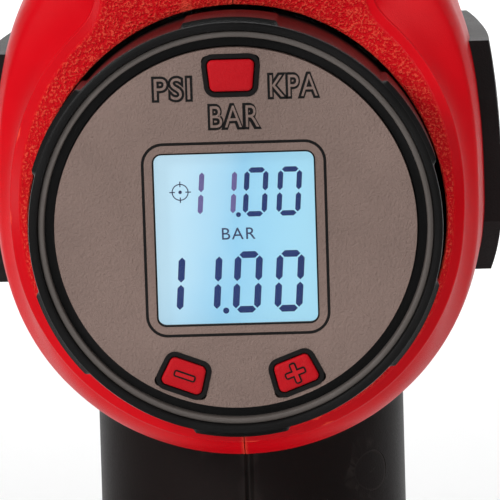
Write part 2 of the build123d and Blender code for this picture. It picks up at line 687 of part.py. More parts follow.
with BuildPart() as face_plate:
    disc(FACE_RADIUS, FACE_FRONT, FACE_BACK)
    disc(FACE_FLANGE_RADIUS, LEDGE_BACK, FACE_BACK)
    with BuildSketch(pod_plane(FACE_BACK, rise=-GLASS_DROP)):
        RectangleRounded(GLASS_WIDTH, GLASS_HEIGHT, GLASS_CORNER)
    extrude(amount=FACE_BACK, mode=Mode.SUBTRACT)
    with BuildSketch(pod_plane(FACE_FRONT + FRAME_LINE, rise=-GLASS_DROP)):
        RectangleRounded(FRAME_WIDTH, FRAME_HEIGHT, FRAME_CORNER)
        RectangleRounded(FRAME_WIDTH - 2 * FRAME_LINE, FRAME_HEIGHT - 2 * FRAME_LINE,
                         FRAME_CORNER - FRAME_LINE, mode=Mode.SUBTRACT)
    extrude(amount=FRAME_LINE, mode=Mode.SUBTRACT)
    for button in (UNIT_BUTTON, MINUS_BUTTON, PLUS_BUTTON):
        with BuildSketch(button_place(button, FACE_BACK)) as hole:
            Polygon(*button_corners(*button[:3], BUTTON_GAP), align=None)
            fillet(hole.vertices(), BUTTON_CORNER)
        extrude(amount=FACE_BACK, mode=Mode.SUBTRACT)
save(face_plate, "face_plate")

with BuildPart() as lcd_window:
    with BuildSketch(pod_plane(GLASS_BACK, rise=-GLASS_DROP)):
        RectangleRounded(GLASS_WIDTH, GLASS_HEIGHT, GLASS_CORNER)
    extrude(amount=GLASS_BACK - GLASS_FRONT)
save(lcd_window, "lcd_window")

with BuildPart() as lcd_panel:
    with BuildSketch(pod_plane(PANEL_BACK, rise=-GLASS_DROP)):
        RectangleRounded(GLASS_WIDTH, GLASS_HEIGHT, GLASS_CORNER)
    extrude(amount=PANEL_BACK - GLASS_BACK)
save(lcd_panel, "lcd_panel")

with BuildPart() as backlight:
    with BuildSketch(pod_plane(BOARD_FRONT, rise=-GLASS_DROP)):
        RectangleRounded(GLASS_WIDTH, GLASS_HEIGHT, GLASS_CORNER)
    extrude(amount=BOARD_FRONT - PANEL_BACK)
save(backlight, "backlight")

POSTS = [(POST_CIRCLE * math.cos(math.radians(a)), POST_CIRCLE * math.sin(math.radians(a)))
         for a in POST_ANGLES]

with BuildPart() as display_board:
    disc(BOARD_RADIUS, BOARD_FRONT, BOARD_BACK)
    for x, rise in POSTS:
        disc(BOARD_SCREW_RADIUS, BOARD_FRONT, BOARD_BACK, x, rise, mode=Mode.SUBTRACT)
save(display_board, "display_board")

with BuildPart() as board_screws:
    for x, rise in POSTS:
        disc(BOARD_SCREW_RADIUS, BOARD_FRONT, BOARD_FRONT + BOARD_SCREW_LENGTH, x, rise)
        disc(BOARD_SCREW_HEAD, BOARD_FRONT - SCREW_HEAD_HEIGHT, BOARD_FRONT, x, rise)
save(board_screws, "board_screws")

FLANGE_BACK = FACE_BACK + 2 * RUN_GAP + BUTTON_FLANGE
SWITCH_TIP = FLANGE_BACK + BUTTON_TRAVEL + 2 * RUN_GAP

with BuildPart() as tact_switches:
    for button in (UNIT_BUTTON, MINUS_BUTTON, PLUS_BUTTON):
        angle = math.radians(button[4])
        x, rise = button[3] * math.cos(angle), button[3] * math.sin(angle)
        disc(SWITCH_CAP_RADIUS, SWITCH_TIP, BOARD_FRONT, x, rise)
        block((x - SWITCH_HALF, back_of(SWITCH_TIP + SWITCH_CAP), AXIS_HEIGHT + rise - SWITCH_HALF),
              (x + SWITCH_HALF, back_of(BOARD_FRONT), AXIS_HEIGHT + rise + SWITCH_HALF))
save(tact_switches, "tact_switches")

for name, button in (("unit_button", UNIT_BUTTON), ("minus_button", MINUS_BUTTON),
                     ("plus_button", PLUS_BUTTON)):
    with BuildPart() as key:
        with BuildSketch(button_place(button, FACE_BACK)) as cap:
            Polygon(*button_corners(*button[:3], 0), align=None)
            fillet(cap.vertices(), BUTTON_CORNER)
        extrude(amount=FACE_BACK - BUTTON_FRONT)
        with BuildSketch(button_place(button, FLANGE_BACK)) as guide:
            Polygon(*button_corners(*button[:3], BUTTON_GAP - BUTTON_GUIDE_GAP), align=None)
            fillet(guide.vertices(), BUTTON_CORNER)
        extrude(amount=FLANGE_BACK - BUTTON_STEP)
        with BuildSketch(button_place(button, FLANGE_BACK)) as rim:
            Polygon(*button_corners(*button[:3], BUTTON_FLANGE_WIDE), align=None)
            fillet(rim.vertices(), BUTTON_CORNER)
        extrude(amount=BUTTON_FLANGE)
        disc(FACE_FLANGE_RADIUS, 0, BOARD_FRONT, mode=Mode.INTERSECT)
    save(key, name)

with BuildPart() as gauge_cup:
    disc(CUP_RADIUS, RING_BACK, CUP_BACK)
    disc(CUP_FLANGE_RADIUS, REAR_DEPTH + REAR_WALL, REAR_DEPTH + REAR_WALL + CUP_FLANGE)
    disc(CUP_BORE, RING_BACK, CUP_BACK - CUP_FLOOR, mode=Mode.SUBTRACT)
    for x, rise in POSTS:
        disc(POST_RADIUS, BOARD_BACK, CUP_BACK - CUP_FLOOR, x, rise)
        disc(BOARD_SCREW_RADIUS, BOARD_BACK, BOARD_FRONT + BOARD_SCREW_LENGTH, x, rise, mode=Mode.SUBTRACT)
    disc(TUBE_HOLE_RADIUS, RING_BACK, CUP_BACK, SENSOR_X, SENSOR_RISE, mode=Mode.SUBTRACT)
    disc(CUP_WIRE_RADIUS, RING_BACK, CUP_BACK, 0, CUP_WIRE_RISE, mode=Mode.SUBTRACT)
save(gauge_cup, "gauge_cup")

SENSOR_BACK = BOARD_BACK + SENSOR_BODY

with BuildPart() as pressure_sensor:
    block((SENSOR_X - SENSOR_HALF, back_of(BOARD_BACK), AXIS_HEIGHT + SENSOR_RISE - SENSOR_HALF),
          (SENSOR_X + SENSOR_HALF, back_of(SENSOR_BACK), AXIS_HEIGHT + SENSOR_RISE + SENSOR_HALF))
    disc(NOZZLE_RADIUS, SENSOR_BACK, SENSOR_BACK + NOZZLE_LENGTH, SENSOR_X, SENSOR_RISE)
save(pressure_sensor, "pressure_sensor")

# ---------------------------------------------------------------- pump
with BuildPart() as pump_frame:
    block((-PLATE_HALF, MOTOR_Y - MOTOR_RADIUS - PLATE_LAP, MOTOR_TOP), (PLATE_HALF, CYLINDER_REAR, PLATE_TOP))
    block((-OVERALL_WIDTH, CYLINDER_REAR, MOTOR_TOP),
          (OVERALL_WIDTH, CYLINDER_REAR + FRAME_WALL, PISTON_Z + FLANGE_RADIUS))
    rod_z(BUSHING_RADIUS + WALL, BUSHING_BOTTOM, PLATE_TOP, y=CRANK_Y)
    rod_z(BUSHING_RADIUS, BUSHING_BOTTOM, PLATE_TOP, y=CRANK_Y, mode=Mode.SUBTRACT)
    rod_z(MOTOR_BOSS_RADIUS, MOTOR_TOP, PLATE_TOP, y=MOTOR_Y, mode=Mode.SUBTRACT)
    rod_y(CYLINDER_RADIUS, CYLINDER_REAR, CYLINDER_REAR + FRAME_WALL, mode=Mode.SUBTRACT)
    rod_y(TUBE_HOLE_RADIUS, CYLINDER_REAR, CYLINDER_REAR + FRAME_WALL, TUBE_RUN_X, mode=Mode.SUBTRACT)
    for side in (-1, 1):
        rod_z(BOARD_SCREW_RADIUS, MOTOR_TOP, PLATE_TOP, side * MOTOR_SCREW_X, MOTOR_Y, mode=Mode.SUBTRACT)
    add(CAVITY, mode=Mode.INTERSECT)
save(pump_frame, "pump_frame")

with BuildPart() as motor_can:
    rod_z(MOTOR_RADIUS, MOTOR_BOTTOM + END_CAP_HEIGHT, MOTOR_TOP, y=MOTOR_Y)
    rod_z(MOTOR_RADIUS - MOTOR_WALL, MOTOR_BOTTOM + END_CAP_HEIGHT, MOTOR_TOP - MOTOR_WALL,
          y=MOTOR_Y, mode=Mode.SUBTRACT)
    rod_z(MOTOR_BOSS_RADIUS, MOTOR_TOP, MOTOR_TOP + MOTOR_BOSS, y=MOTOR_Y)
    rod_z(SHAFT_RADIUS + RUN_GAP, MOTOR_TOP - 2 * MOTOR_WALL, MOTOR_TOP + MOTOR_BOSS,
          y=MOTOR_Y, mode=Mode.SUBTRACT)
    for side in (-1, 1):
        rod_z(BOARD_SCREW_RADIUS, MOTOR_TOP - MOTOR_WALL, MOTOR_TOP, side * MOTOR_SCREW_X, MOTOR_Y,
              mode=Mode.SUBTRACT)
save(motor_can, "motor_can")

with BuildPart() as motor_end_cap:
    rod_z(MOTOR_RADIUS, MOTOR_BOTTOM, MOTOR_BOTTOM + END_CAP_HEIGHT, y=MOTOR_Y)
    rod_z(SHAFT_RADIUS + RUN_GAP, MOTOR_BOTTOM, MOTOR_BOTTOM + END_CAP_HEIGHT, y=MOTOR_Y, mode=Mode.SUBTRACT)
save(motor_end_cap, "motor_end_cap")

MAGNET_OUTER = MOTOR_RADIUS - MOTOR_WALL
MAGNET_INNER = MAGNET_OUTER - MAGNET_THICK

with BuildPart() as motor_magnets:
    for middle in (0.0, 180.0):
        with BuildSketch(Plane.XY.offset(ARMATURE_BOTTOM)):
            with Locations((0, MOTOR_Y)):
                SlotArc(CenterArc((0, 0), (MAGNET_OUTER + MAGNET_INNER) / 2,
                                  middle - MAGNET_SWEEP / 2, MAGNET_SWEEP), MAGNET_THICK)
        extrude(amount=ARMATURE_TOP - ARMATURE_BOTTOM)
save(motor_magnets, "motor_magnets")

with BuildPart() as motor_screws:
    for side in (-1, 1):
        rod_z(BOARD_SCREW_RADIUS, MOTOR_TOP - MOTOR_WALL, PLATE_TOP, side * MOTOR_SCREW_X, MOTOR_Y)
        rod_z(BOARD_SCREW_HEAD, PLATE_TOP, PLATE_TOP + SCREW_HEAD_HEIGHT, side * MOTOR_SCREW_X, MOTOR_Y)
save(motor_screws, "motor_screws")

ARMATURE_RADIUS = MAGNET_INNER - MAGNET_GAP

with BuildPart() as armature:
    rod_z(ARMATURE_RADIUS, ARMATURE_BOTTOM, ARMATURE_TOP, y=MOTOR_Y)
    rod_z(SHAFT_RADIUS, ARMATURE_BOTTOM, ARMATURE_TOP, y=MOTOR_Y, mode=Mode.SUBTRACT)
    with Locations((0, MOTOR_Y, ARMATURE_BOTTOM)):
        with PolarLocations(ARMATURE_RADIUS, ARMATURE_SLOTS):
            Box(2 * ARMATURE_SLOT_DEEP, ARMATURE_SLOT_WIDE, ARMATURE_LENGTH,
                align=(Align.CENTER, Align.CENTER, Align.MIN), mode=Mode.SUBTRACT)
save(armature, "armature")

with BuildPart() as commutator:
    rod_z(COMMUTATOR_RADIUS, MOTOR_BOTTOM + END_CAP_HEIGHT + COMMUTATOR_GAP, ARMATURE_BOTTOM, y=MOTOR_Y)
    rod_z(SHAFT_RADIUS, MOTOR_BOTTOM, ARMATURE_BOTTOM, y=MOTOR_Y, mode=Mode.SUBTRACT)
save(commutator, "commutator")

PINION_TOP = GEAR_TOP + PINION_PROUD

with BuildPart() as motor_shaft:
    rod_z(SHAFT_RADIUS, MOTOR_BOTTOM - SHAFT_PROUD, PINION_TOP, y=MOTOR_Y)
save(motor_shaft, "motor_shaft")

with BuildPart() as pinion:
    with BuildSketch(Plane.XY.offset(GEAR_BOTTOM)):
        with Locations((0, MOTOR_Y)):
            Polygon(*gear_outline(PINION_TEETH, 90.0 + 180.0 / PINION_TEETH), align=None)
            Circle(SHAFT_RADIUS, mode=Mode.SUBTRACT)
    extrude(amount=PINION_TOP - GEAR_BOTTOM)
save(pinion, "pinion")

with BuildPart() as crank_gear:
    with BuildSketch(Plane.XY.offset(GEAR_BOTTOM)):
        with Locations((0, CRANK_Y)):
            Polygon(*gear_outline(GEAR_TEETH, -90.0), align=None)
            Circle(CRANK_SHAFT_RADIUS, mode=Mode.SUBTRACT)
            with PolarLocations(GEAR_HOLE_CIRCLE, GEAR_HOLES, start_angle=90.0):
                Circle(GEAR_HOLE_RADIUS, mode=Mode.SUBTRACT)
    extrude(amount=GEAR_THICK)
save(crank_gear, "crank_gear")

SHAFT_END = BUSHING_BOTTOM - RUN_GAP - CLIP_THICK

with BuildPart() as crank_shaft:
    rod_z(CRANK_SHAFT_RADIUS, SHAFT_END, GEAR_TOP, y=CRANK_Y)
    rod_z(CLIP_RADIUS, SHAFT_END, BUSHING_BOTTOM - RUN_GAP, y=CRANK_Y)
save(crank_shaft, "crank_shaft")

with BuildPart() as crank_bushing:
    rod_z(BUSHING_RADIUS, BUSHING_BOTTOM, GEAR_BOTTOM - RUN_GAP, y=CRANK_Y)
    rod_z(CRANK_SHAFT_RADIUS + RUN_GAP, BUSHING_BOTTOM, GEAR_BOTTOM, y=CRANK_Y, mode=Mode.SUBTRACT)
save(crank_bushing, "crank_bushing")

ROD_BOTTOM = PISTON_Z - ROD_THICK / 2
ROD_TOP = PISTON_Z + ROD_THICK / 2

with BuildPart() as connecting_rod:
    rod_z(BIG_END_RADIUS, ROD_BOTTOM, ROD_TOP, y=BIG_END_Y)
    rod_z(SMALL_END_RADIUS, ROD_BOTTOM, ROD_TOP, y=WRIST_Y)
    block((-ROD_THICK / 2, BIG_END_Y, ROD_BOTTOM), (ROD_THICK / 2, WRIST_Y, ROD_TOP))
    rod_z(CRANK_PIN_RADIUS, ROD_BOTTOM, ROD_TOP, y=BIG_END_Y, mode=Mode.SUBTRACT)
    rod_z(WRIST_PIN_RADIUS, ROD_BOTTOM, ROD_TOP, y=WRIST_Y, mode=Mode.SUBTRACT)
save(connecting_rod, "connecting_rod")

with BuildPart() as crank_pin:
    rod_z(CRANK_PIN_RADIUS, GEAR_TOP + RUN_GAP, ROD_TOP, y=BIG_END_Y)
    rod_z(CRANK_PIN_SHOULDER, GEAR_TOP + RUN_GAP, ROD_BOTTOM, y=BIG_END_Y)
    rod_z(CRANK_PIN_SHOULDER, ROD_TOP, ROD_TOP + CLIP_THICK, y=BIG_END_Y)
save(crank_pin, "crank_pin")

SEAL_Y = CROWN_Y - SEAL_LAND - SEAL_WIDTH

with BuildPart() as piston:
    rod_y(PISTON_RADIUS, WRIST_Y - PISTON_SKIRT, CROWN_Y)
    rod_y(PISTON_RADIUS - SKIRT_WALL, WRIST_Y - PISTON_SKIRT, CROWN_Y - CROWN_THICK, mode=Mode.SUBTRACT)
    with BuildPart(mode=Mode.SUBTRACT):
        rod_y(PISTON_RADIUS, SEAL_Y, SEAL_Y + SEAL_WIDTH)
        rod_y(PISTON_RADIUS - SEAL_DEPTH, SEAL_Y, SEAL_Y + SEAL_WIDTH, mode=Mode.SUBTRACT)
    rod_z(WRIST_PIN_RADIUS, PISTON_Z - PISTON_RADIUS, PISTON_Z + PISTON_RADIUS, y=WRIST_Y, mode=Mode.SUBTRACT)
save(piston, "piston")

with BuildPart() as piston_seal:
    rod_y(PISTON_RADIUS, SEAL_Y, SEAL_Y + SEAL_WIDTH)
    rod_y(PISTON_RADIUS - SEAL_DEPTH, SEAL_Y, SEAL_Y + SEAL_WIDTH, mode=Mode.SUBTRACT)
save(piston_seal, "piston_seal")

with BuildPart() as wrist_pin:
    rod_z(WRIST_PIN_RADIUS, PISTON_Z - PISTON_RADIUS + WRIST_PIN_INSET,
          PISTON_Z + PISTON_RADIUS - WRIST_PIN_INSET, y=WRIST_Y)
save(wrist_pin, "wrist_pin")

with BuildPart() as cylinder:
    rod_y(CYLINDER_RADIUS, CYLINDER_REAR, CYLINDER_FRONT)
    for fin in range(FIN_COUNT):
        fin_y = CYLINDER_REAR + FRAME_WALL + FIN_PITCH * fin
        rod_y(FIN_RADIUS, fin_y, fin_y + FIN_THICK)
    rod_y(FLANGE_RADIUS, CYLINDER_FRONT - FLANGE_THICK, CYLINDER_FRONT)
    rod_y(BORE_RADIUS, CYLINDER_REAR, CYLINDER_FRONT, mode=Mode.SUBTRACT)
    head_bolts(HEAD_BOLT_RADIUS, CYLINDER_FRONT - FLANGE_THICK, CYLINDER_FRONT, Mode.SUBTRACT)
save(cylinder, "cylinder")

with BuildPart() as head_gasket:
    rod_y(FLANGE_RADIUS, CYLINDER_FRONT, CYLINDER_FRONT + GASKET_THICK)
    rod_y(BORE_RADIUS, CYLINDER_FRONT, CYLINDER_FRONT + GASKET_THICK, mode=Mode.SUBTRACT)
    head_bolts(HEAD_BOLT_RADIUS, CYLINDER_FRONT, CYLINDER_FRONT + GASKET_THICK, Mode.SUBTRACT)
save(head_gasket, "head_gasket")

with BuildPart() as cylinder_head:
    rod_y(FLANGE_RADIUS, CYLINDER_FRONT + GASKET_THICK, HEAD_FRONT)
    block((0, HEAD_FRONT - 2 * ELBOW_HALF, PISTON_Z - ELBOW_HALF),
          (TUBE_RUN_X + ELBOW_HALF, HEAD_FRONT, PISTON_Z + ELBOW_HALF))
    rod_y(NOZZLE_RADIUS, HEAD_FRONT - 2 * ELBOW_HALF - NOZZLE_LENGTH, HEAD_FRONT - 2 * ELBOW_HALF, TUBE_RUN_X)
    rod_y(OUTLET_BORE, CYLINDER_FRONT, HEAD_FRONT, mode=Mode.SUBTRACT)
    head_bolts(HEAD_BOLT_RADIUS, CYLINDER_FRONT, HEAD_FRONT, Mode.SUBTRACT)
save(cylinder_head, "cylinder_head")

with BuildPart() as head_screws:
    head_bolts(HEAD_BOLT_RADIUS, CYLINDER_FRONT - FLANGE_THICK, HEAD_FRONT)
    head_bolts(HEAD_BOLT_HEAD, HEAD_FRONT, HEAD_FRONT + SCREW_HEAD_HEIGHT)
save(head_screws, "head_screws")

with BuildPart() as outlet_tube:
    rod_y(OUTLET_RADIUS, HEAD_FRONT, PORT_BACK)
    rod_y(OUTLET_BORE, HEAD_FRONT, PORT_BACK, mode=Mode.SUBTRACT)
save(outlet_tube, "outlet_tube")

with BuildPart() as outlet_fitting:
    rod_y(PORT_RADIUS, PORT_BACK, PORT_SHOULDER)
    with BuildSketch(Plane(origin=(0, PORT_SHOULDER, PISTON_Z), x_dir=(1, 0, 0), z_dir=(0, 1, 0))):
        RegularPolygon(PORT_HEX, 6, major_radius=False)
    extrude(amount=PORT_TIP - PORT_SHOULDER)
    rod_y(OUTLET_BORE, PORT_BACK, PORT_TIP, mode=Mode.SUBTRACT)
    rod_y(PORT_THREAD_RADIUS, PORT_TIP - PORT_THREAD_LENGTH, PORT_TIP, mode=Mode.SUBTRACT)
save(outlet_fitting, "outlet_fitting")

with BuildPart() as nose_collar:
    disc(COLLAR_SPIGOT, NOSE_DEPTH - FRONT_WALL, NOSE_DEPTH, rise=PUMP_RISE)
    disc(COLLAR_FLANGE, NOSE_DEPTH, NOSE_DEPTH + COLLAR_PROUD, rise=PUMP_RISE)
    disc(PORT_RADIUS, NOSE_DEPTH - FRONT_WALL, NOSE_DEPTH + COLLAR_PROUD, rise=PUMP_RISE, mode=Mode.SUBTRACT)
save(nose_collar, "nose_collar")

with BuildPart() as sensor_tube:
    start = (SENSOR_X, back_of(SENSOR_BACK), AXIS_HEIGHT + SENSOR_RISE)
    finish = (TUBE_RUN_X, HEAD_FRONT - 2 * ELBOW_HALF, PISTON_Z)
    with BuildLine() as tube_path:
        FilletPolyline(start, (start[0], back_of(CUP_BACK) + TUBE_LEAD, start[2]),
                       (finish[0], CRANK_Y - TUBE_TURN, finish[2]), finish, radius=TUBE_BENDS)
    with BuildSketch(Plane(origin=start, x_dir=(1, 0, 0), z_dir=(0, 1, 0))):
        Circle(TUBE_RADIUS)
        Circle(NOZZLE_RADIUS, mode=Mode.SUBTRACT)
    sweep(path=tube_path.wires()[0])
print("sensor tube bend radii", TUBE_BENDS)
save(sensor_tube, "sensor_tube")

with BuildPart() as lamp_lens:
    block((-LAMP_HALF_WIDTH, back_of(NOSE_DEPTH - FRONT_WALL), LAMP_BOTTOM),
          (LAMP_HALF_WIDTH, back_of(NOSE_DEPTH + LAMP_PROUD), LAMP_TOP))
save(lamp_lens, "lamp_lens")

with BuildPart() as lamp_board:
    block((-LAMP_HALF_WIDTH, back_of(NOSE_DEPTH - FRONT_WALL) - LAMP_BOARD_THICK, LAMP_BOTTOM),
          (LAMP_HALF_WIDTH, back_of(NOSE_DEPTH - FRONT_WALL), LAMP_TOP))
    add(CAVITY, mode=Mode.INTERSECT)
save(lamp_board, "lamp_board")

# ---------------------------------------------------------------- trigger
with BuildPart() as trigger:
    with BuildSketch(Plane(origin=(0, 0, 0), x_dir=(0, 1, 0), z_dir=(1, 0, 0))):
        with BuildLine():
            low_nose = (NOSE_LOW_Y, TRIGGER_BOTTOM)
            high_nose = (NOSE_HIGH_Y, TRIGGER_TOP)
            ThreePointArc(low_nose, (NOSE_MID_Y, TRIGGER_MID), high_nose)
            Polyline([high_nose, (TRIGGER_BACK, TRIGGER_TOP), (TRIGGER_BACK, TRIGGER_BOTTOM), low_nose])
        make_face()
    extrude(amount=TRIGGER_HALF, both=True)
    block((-TRIGGER_FLANGE_HALF, TRIGGER_BACK, TRIGGER_BOTTOM - TRIGGER_FLANGE_RISE),
          (TRIGGER_FLANGE_HALF, TRIGGER_BACK + TRIGGER_FLANGE, TRIGGER_TOP + TRIGGER_FLANGE_RISE))
    rod_y(STEM_RADIUS, TRIGGER_BACK - STEM_LENGTH, TRIGGER_BACK, z=TRIGGER_MID)
save(trigger, "trigger")

with BuildPart() as trigger_switch:
    block((-SWITCH_BODY_HALF, SWITCH_BACK, SWITCH_BOTTOM), (SWITCH_BODY_HALF, SWITCH_FRONT, SWITCH_TOP))
    rod_y(STEM_RADIUS + STEM_GAP, SWITCH_BACK + SWITCH_FLOOR, SWITCH_FRONT, z=TRIGGER_MID,
          mode=Mode.SUBTRACT)
save(trigger_switch, "trigger_switch")

# ---------------------------------------------------------------- terminals
with BuildPart() as terminal_block:
    grip_disc(GRIP_BORE, TERMINAL_BOTTOM, TERMINAL_BOTTOM + TERMINAL_THICK)
    for side in (-1, 1):
        grip_box(BLADE_HALF, BLADE_WIDTH / 2, TERMINAL_BOTTOM, TERMINAL_BOTTOM + TERMINAL_THICK,
                 side * BLADE_X, mode=Mode.SUBTRACT)
save(terminal_block, "terminal_block")

with BuildPart() as terminal_blades:
    for side in (-1, 1):
        grip_box(BLADE_HALF, BLADE_WIDTH / 2, BLADE_BOTTOM, TERMINAL_BOTTOM + TERMINAL_THICK,
                 side * BLADE_X)
save(terminal_blades, "terminal_blades")

# ---------------------------------------------------------------- battery
with BuildPart() as battery_case:
    grip_disc(CASE_RADIUS, CASE_BOTTOM, CASE_TOP)
    grip_disc(CASE_BORE, CASE_BOTTOM + CASE_END, CASE_TOP - CASE_END, mode=Mode.SUBTRACT)
    grip_box(TOWER_HALF_X, TOWER_HALF_Y, CASE_TOP, TOWER_TOP)
    for side in (-1, 1):
        grip_box(SLOT_HALF, BLADE_WIDTH / 2 + SLOT_GAP, BLADE_BOTTOM - SLOT_GAP, TOWER_TOP,
                 side * BLADE_X, mode=Mode.SUBTRACT)
save(battery_case, "battery_case")

with BuildPart() as battery_contacts:
    for side in (-1, 1):
        for cheek in (-1, 1):
            grip_box(CONTACT_THICK / 2, BLADE_WIDTH / 2, BLADE_BOTTOM - SLOT_GAP, TOWER_TOP,
                     side * BLADE_X + cheek * (SLOT_HALF - CONTACT_THICK / 2))
save(battery_contacts, "battery_contacts")

with BuildPart() as battery_cells:
    for turn in range(3):
        angle = math.radians(90 + 120 * turn)
        grip_disc(CELL_RADIUS, CASE_BOTTOM + CASE_END, CASE_BOTTOM + CASE_END + CELL_LENGTH,
                  CELL_CIRCLE * math.cos(angle), CELL_CIRCLE * math.sin(angle))
save(battery_cells, "battery_cells")

with BuildPart() as battery_foot:
    with BuildSketch(Plane.XY):
        with Locations((0, FOOT_Y)):
            RectangleRounded(FOOT_WIDTH, FOOT_LENGTH, FOOT_CORNER)
    extrude(amount=FOOT_TOP)
    chamfer(battery_foot.faces().sort_by(Axis.Z)[0].edges(), FOOT_CHAMFER)
    with BuildSketch(Plane.XY.offset(FOOT_WALL)):
        with Locations((0, FOOT_Y)):
            RectangleRounded(FOOT_WIDTH - 2 * FOOT_WALL, FOOT_LENGTH - 2 * FOOT_WALL,
                             FOOT_CORNER - FOOT_WALL)
    extrude(amount=FOOT_TOP - 2 * FOOT_WALL, mode=Mode.SUBTRACT)
    grip_disc(CASE_RADIUS + FOOT_SLEEVE, CASE_BOTTOM - FOOT_SLEEVE, FOOT_TOP)
    grip_disc(CASE_RADIUS, CASE_BOTTOM, CASE_TOP, mode=Mode.SUBTRACT)
    for side in (-1, 1):
        inner, outer = sorted((side * (LATCH_PAD_IN - LATCH_TRAVEL - LATCH_GAP), side * FOOT_WIDTH))
        block((inner, LATCH_Y - LATCH_PAD_HALF - LATCH_GAP, LATCH_PAD_BOTTOM - LATCH_GAP),
              (outer, LATCH_Y + LATCH_PAD_HALF + LATCH_GAP, LATCH_PAD_TOP + LATCH_GAP), mode=Mode.SUBTRACT)
        inner, outer = sorted((side * (TONGUE_IN - LATCH_TRAVEL - LATCH_GAP), side * (HOOK_OUT + LATCH_GAP)))
        block((inner, LATCH_Y - TONGUE_HALF - LATCH_GAP, LATCH_PAD_BOTTOM + LATCH_STEP - LATCH_GAP),
              (outer, LATCH_Y + TONGUE_HALF + LATCH_GAP, FOOT_TOP), mode=Mode.SUBTRACT)
    block((-FOOT_WIDTH, FOOT_Y - FOOT_LENGTH, FOOT_TOP), (FOOT_WIDTH, FOOT_Y + FOOT_LENGTH, 2 * FOOT_TOP),
          mode=Mode.SUBTRACT)
save(battery_foot, "battery_foot")

BMS_FRONT = FOOT_Y + FOOT_LENGTH / 2 - 2 * FOOT_WALL

with BuildPart() as battery_board:
    block((-BMS_HALF, BMS_FRONT - BMS_LENGTH, FOOT_WALL), (BMS_HALF, BMS_FRONT, FOOT_WALL + BMS_THICK))
save(battery_board, "battery_board")


def latch(side):
    """Squeeze latch on one side of the foot."""
    def across(near, far):
        return sorted((side * near, side * far))

    with BuildPart() as piece:
        x_low, x_high = across(LATCH_PAD_IN, LATCH_PAD_OUT)
        block((x_low, LATCH_Y - LATCH_PAD_HALF, LATCH_PAD_BOTTOM),
              (x_high, LATCH_Y + LATCH_PAD_HALF, LATCH_PAD_TOP))
        x_low, x_high = across(TONGUE_IN, LATCH_PAD_IN)
        block((x_low, LATCH_Y - TONGUE_HALF, LATCH_PAD_BOTTOM + LATCH_STEP),
              (x_high, LATCH_Y + TONGUE_HALF, LATCH_PAD_TOP - LATCH_STEP))
        x_low, x_high = across(TONGUE_IN, TONGUE_OUT)
        block((x_low, LATCH_Y - TONGUE_HALF, LATCH_PAD_BOTTOM + LATCH_STEP),
              (x_high, LATCH_Y + TONGUE_HALF, HOOK_TOP))
        x_low, x_high = across(TONGUE_IN, HOOK_OUT)
        block((x_low, LATCH_Y - TONGUE_HALF, HOOK_BOTTOM),
              (x_high, LATCH_Y + TONGUE_HALF, HOOK_TOP))
    return piece


for name, side in (("latch_right", 1), ("latch_left", -1)):
    save(latch(side), name)
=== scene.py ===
import logging
import math
from dataclasses import dataclass, field
from enum import Enum
from typing import Any, Sequence

import bmesh
import bpy
import numpy as np
from mathutils import Matrix, Vector


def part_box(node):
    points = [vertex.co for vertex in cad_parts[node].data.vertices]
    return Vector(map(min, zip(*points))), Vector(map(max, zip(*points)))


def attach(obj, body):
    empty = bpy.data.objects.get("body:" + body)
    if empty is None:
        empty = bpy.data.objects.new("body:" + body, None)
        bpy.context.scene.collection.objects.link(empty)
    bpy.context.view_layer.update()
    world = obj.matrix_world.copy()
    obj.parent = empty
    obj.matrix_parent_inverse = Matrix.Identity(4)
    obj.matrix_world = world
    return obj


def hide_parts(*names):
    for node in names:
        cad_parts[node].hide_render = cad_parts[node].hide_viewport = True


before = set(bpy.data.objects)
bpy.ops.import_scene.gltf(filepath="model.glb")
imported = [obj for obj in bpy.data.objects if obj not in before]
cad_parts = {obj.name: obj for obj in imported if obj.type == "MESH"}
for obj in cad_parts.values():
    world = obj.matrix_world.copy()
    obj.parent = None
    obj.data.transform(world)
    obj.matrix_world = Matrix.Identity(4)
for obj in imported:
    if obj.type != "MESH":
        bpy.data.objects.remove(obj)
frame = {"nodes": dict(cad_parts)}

LOG = logging.getLogger("inflator")
MM = 0.001
Colour = tuple[float, float, float]
Array = np.ndarray


def srgb(red: int, green: int, blue: int) -> Colour:
    """Turn an 8-bit display colour into the linear colour that shaders use.

    Args:
        red, green, blue: channel values from 0 to 255.

    Returns:
        The linear colour.
    """
    parts = [channel / 255 for channel in (red, green, blue)]
    return tuple(p / 12.92 if p <= 0.04045 else ((p + 0.055) / 1.055) ** 2.4 for p in parts)


# ------------------------------------------------------------------ shader bench


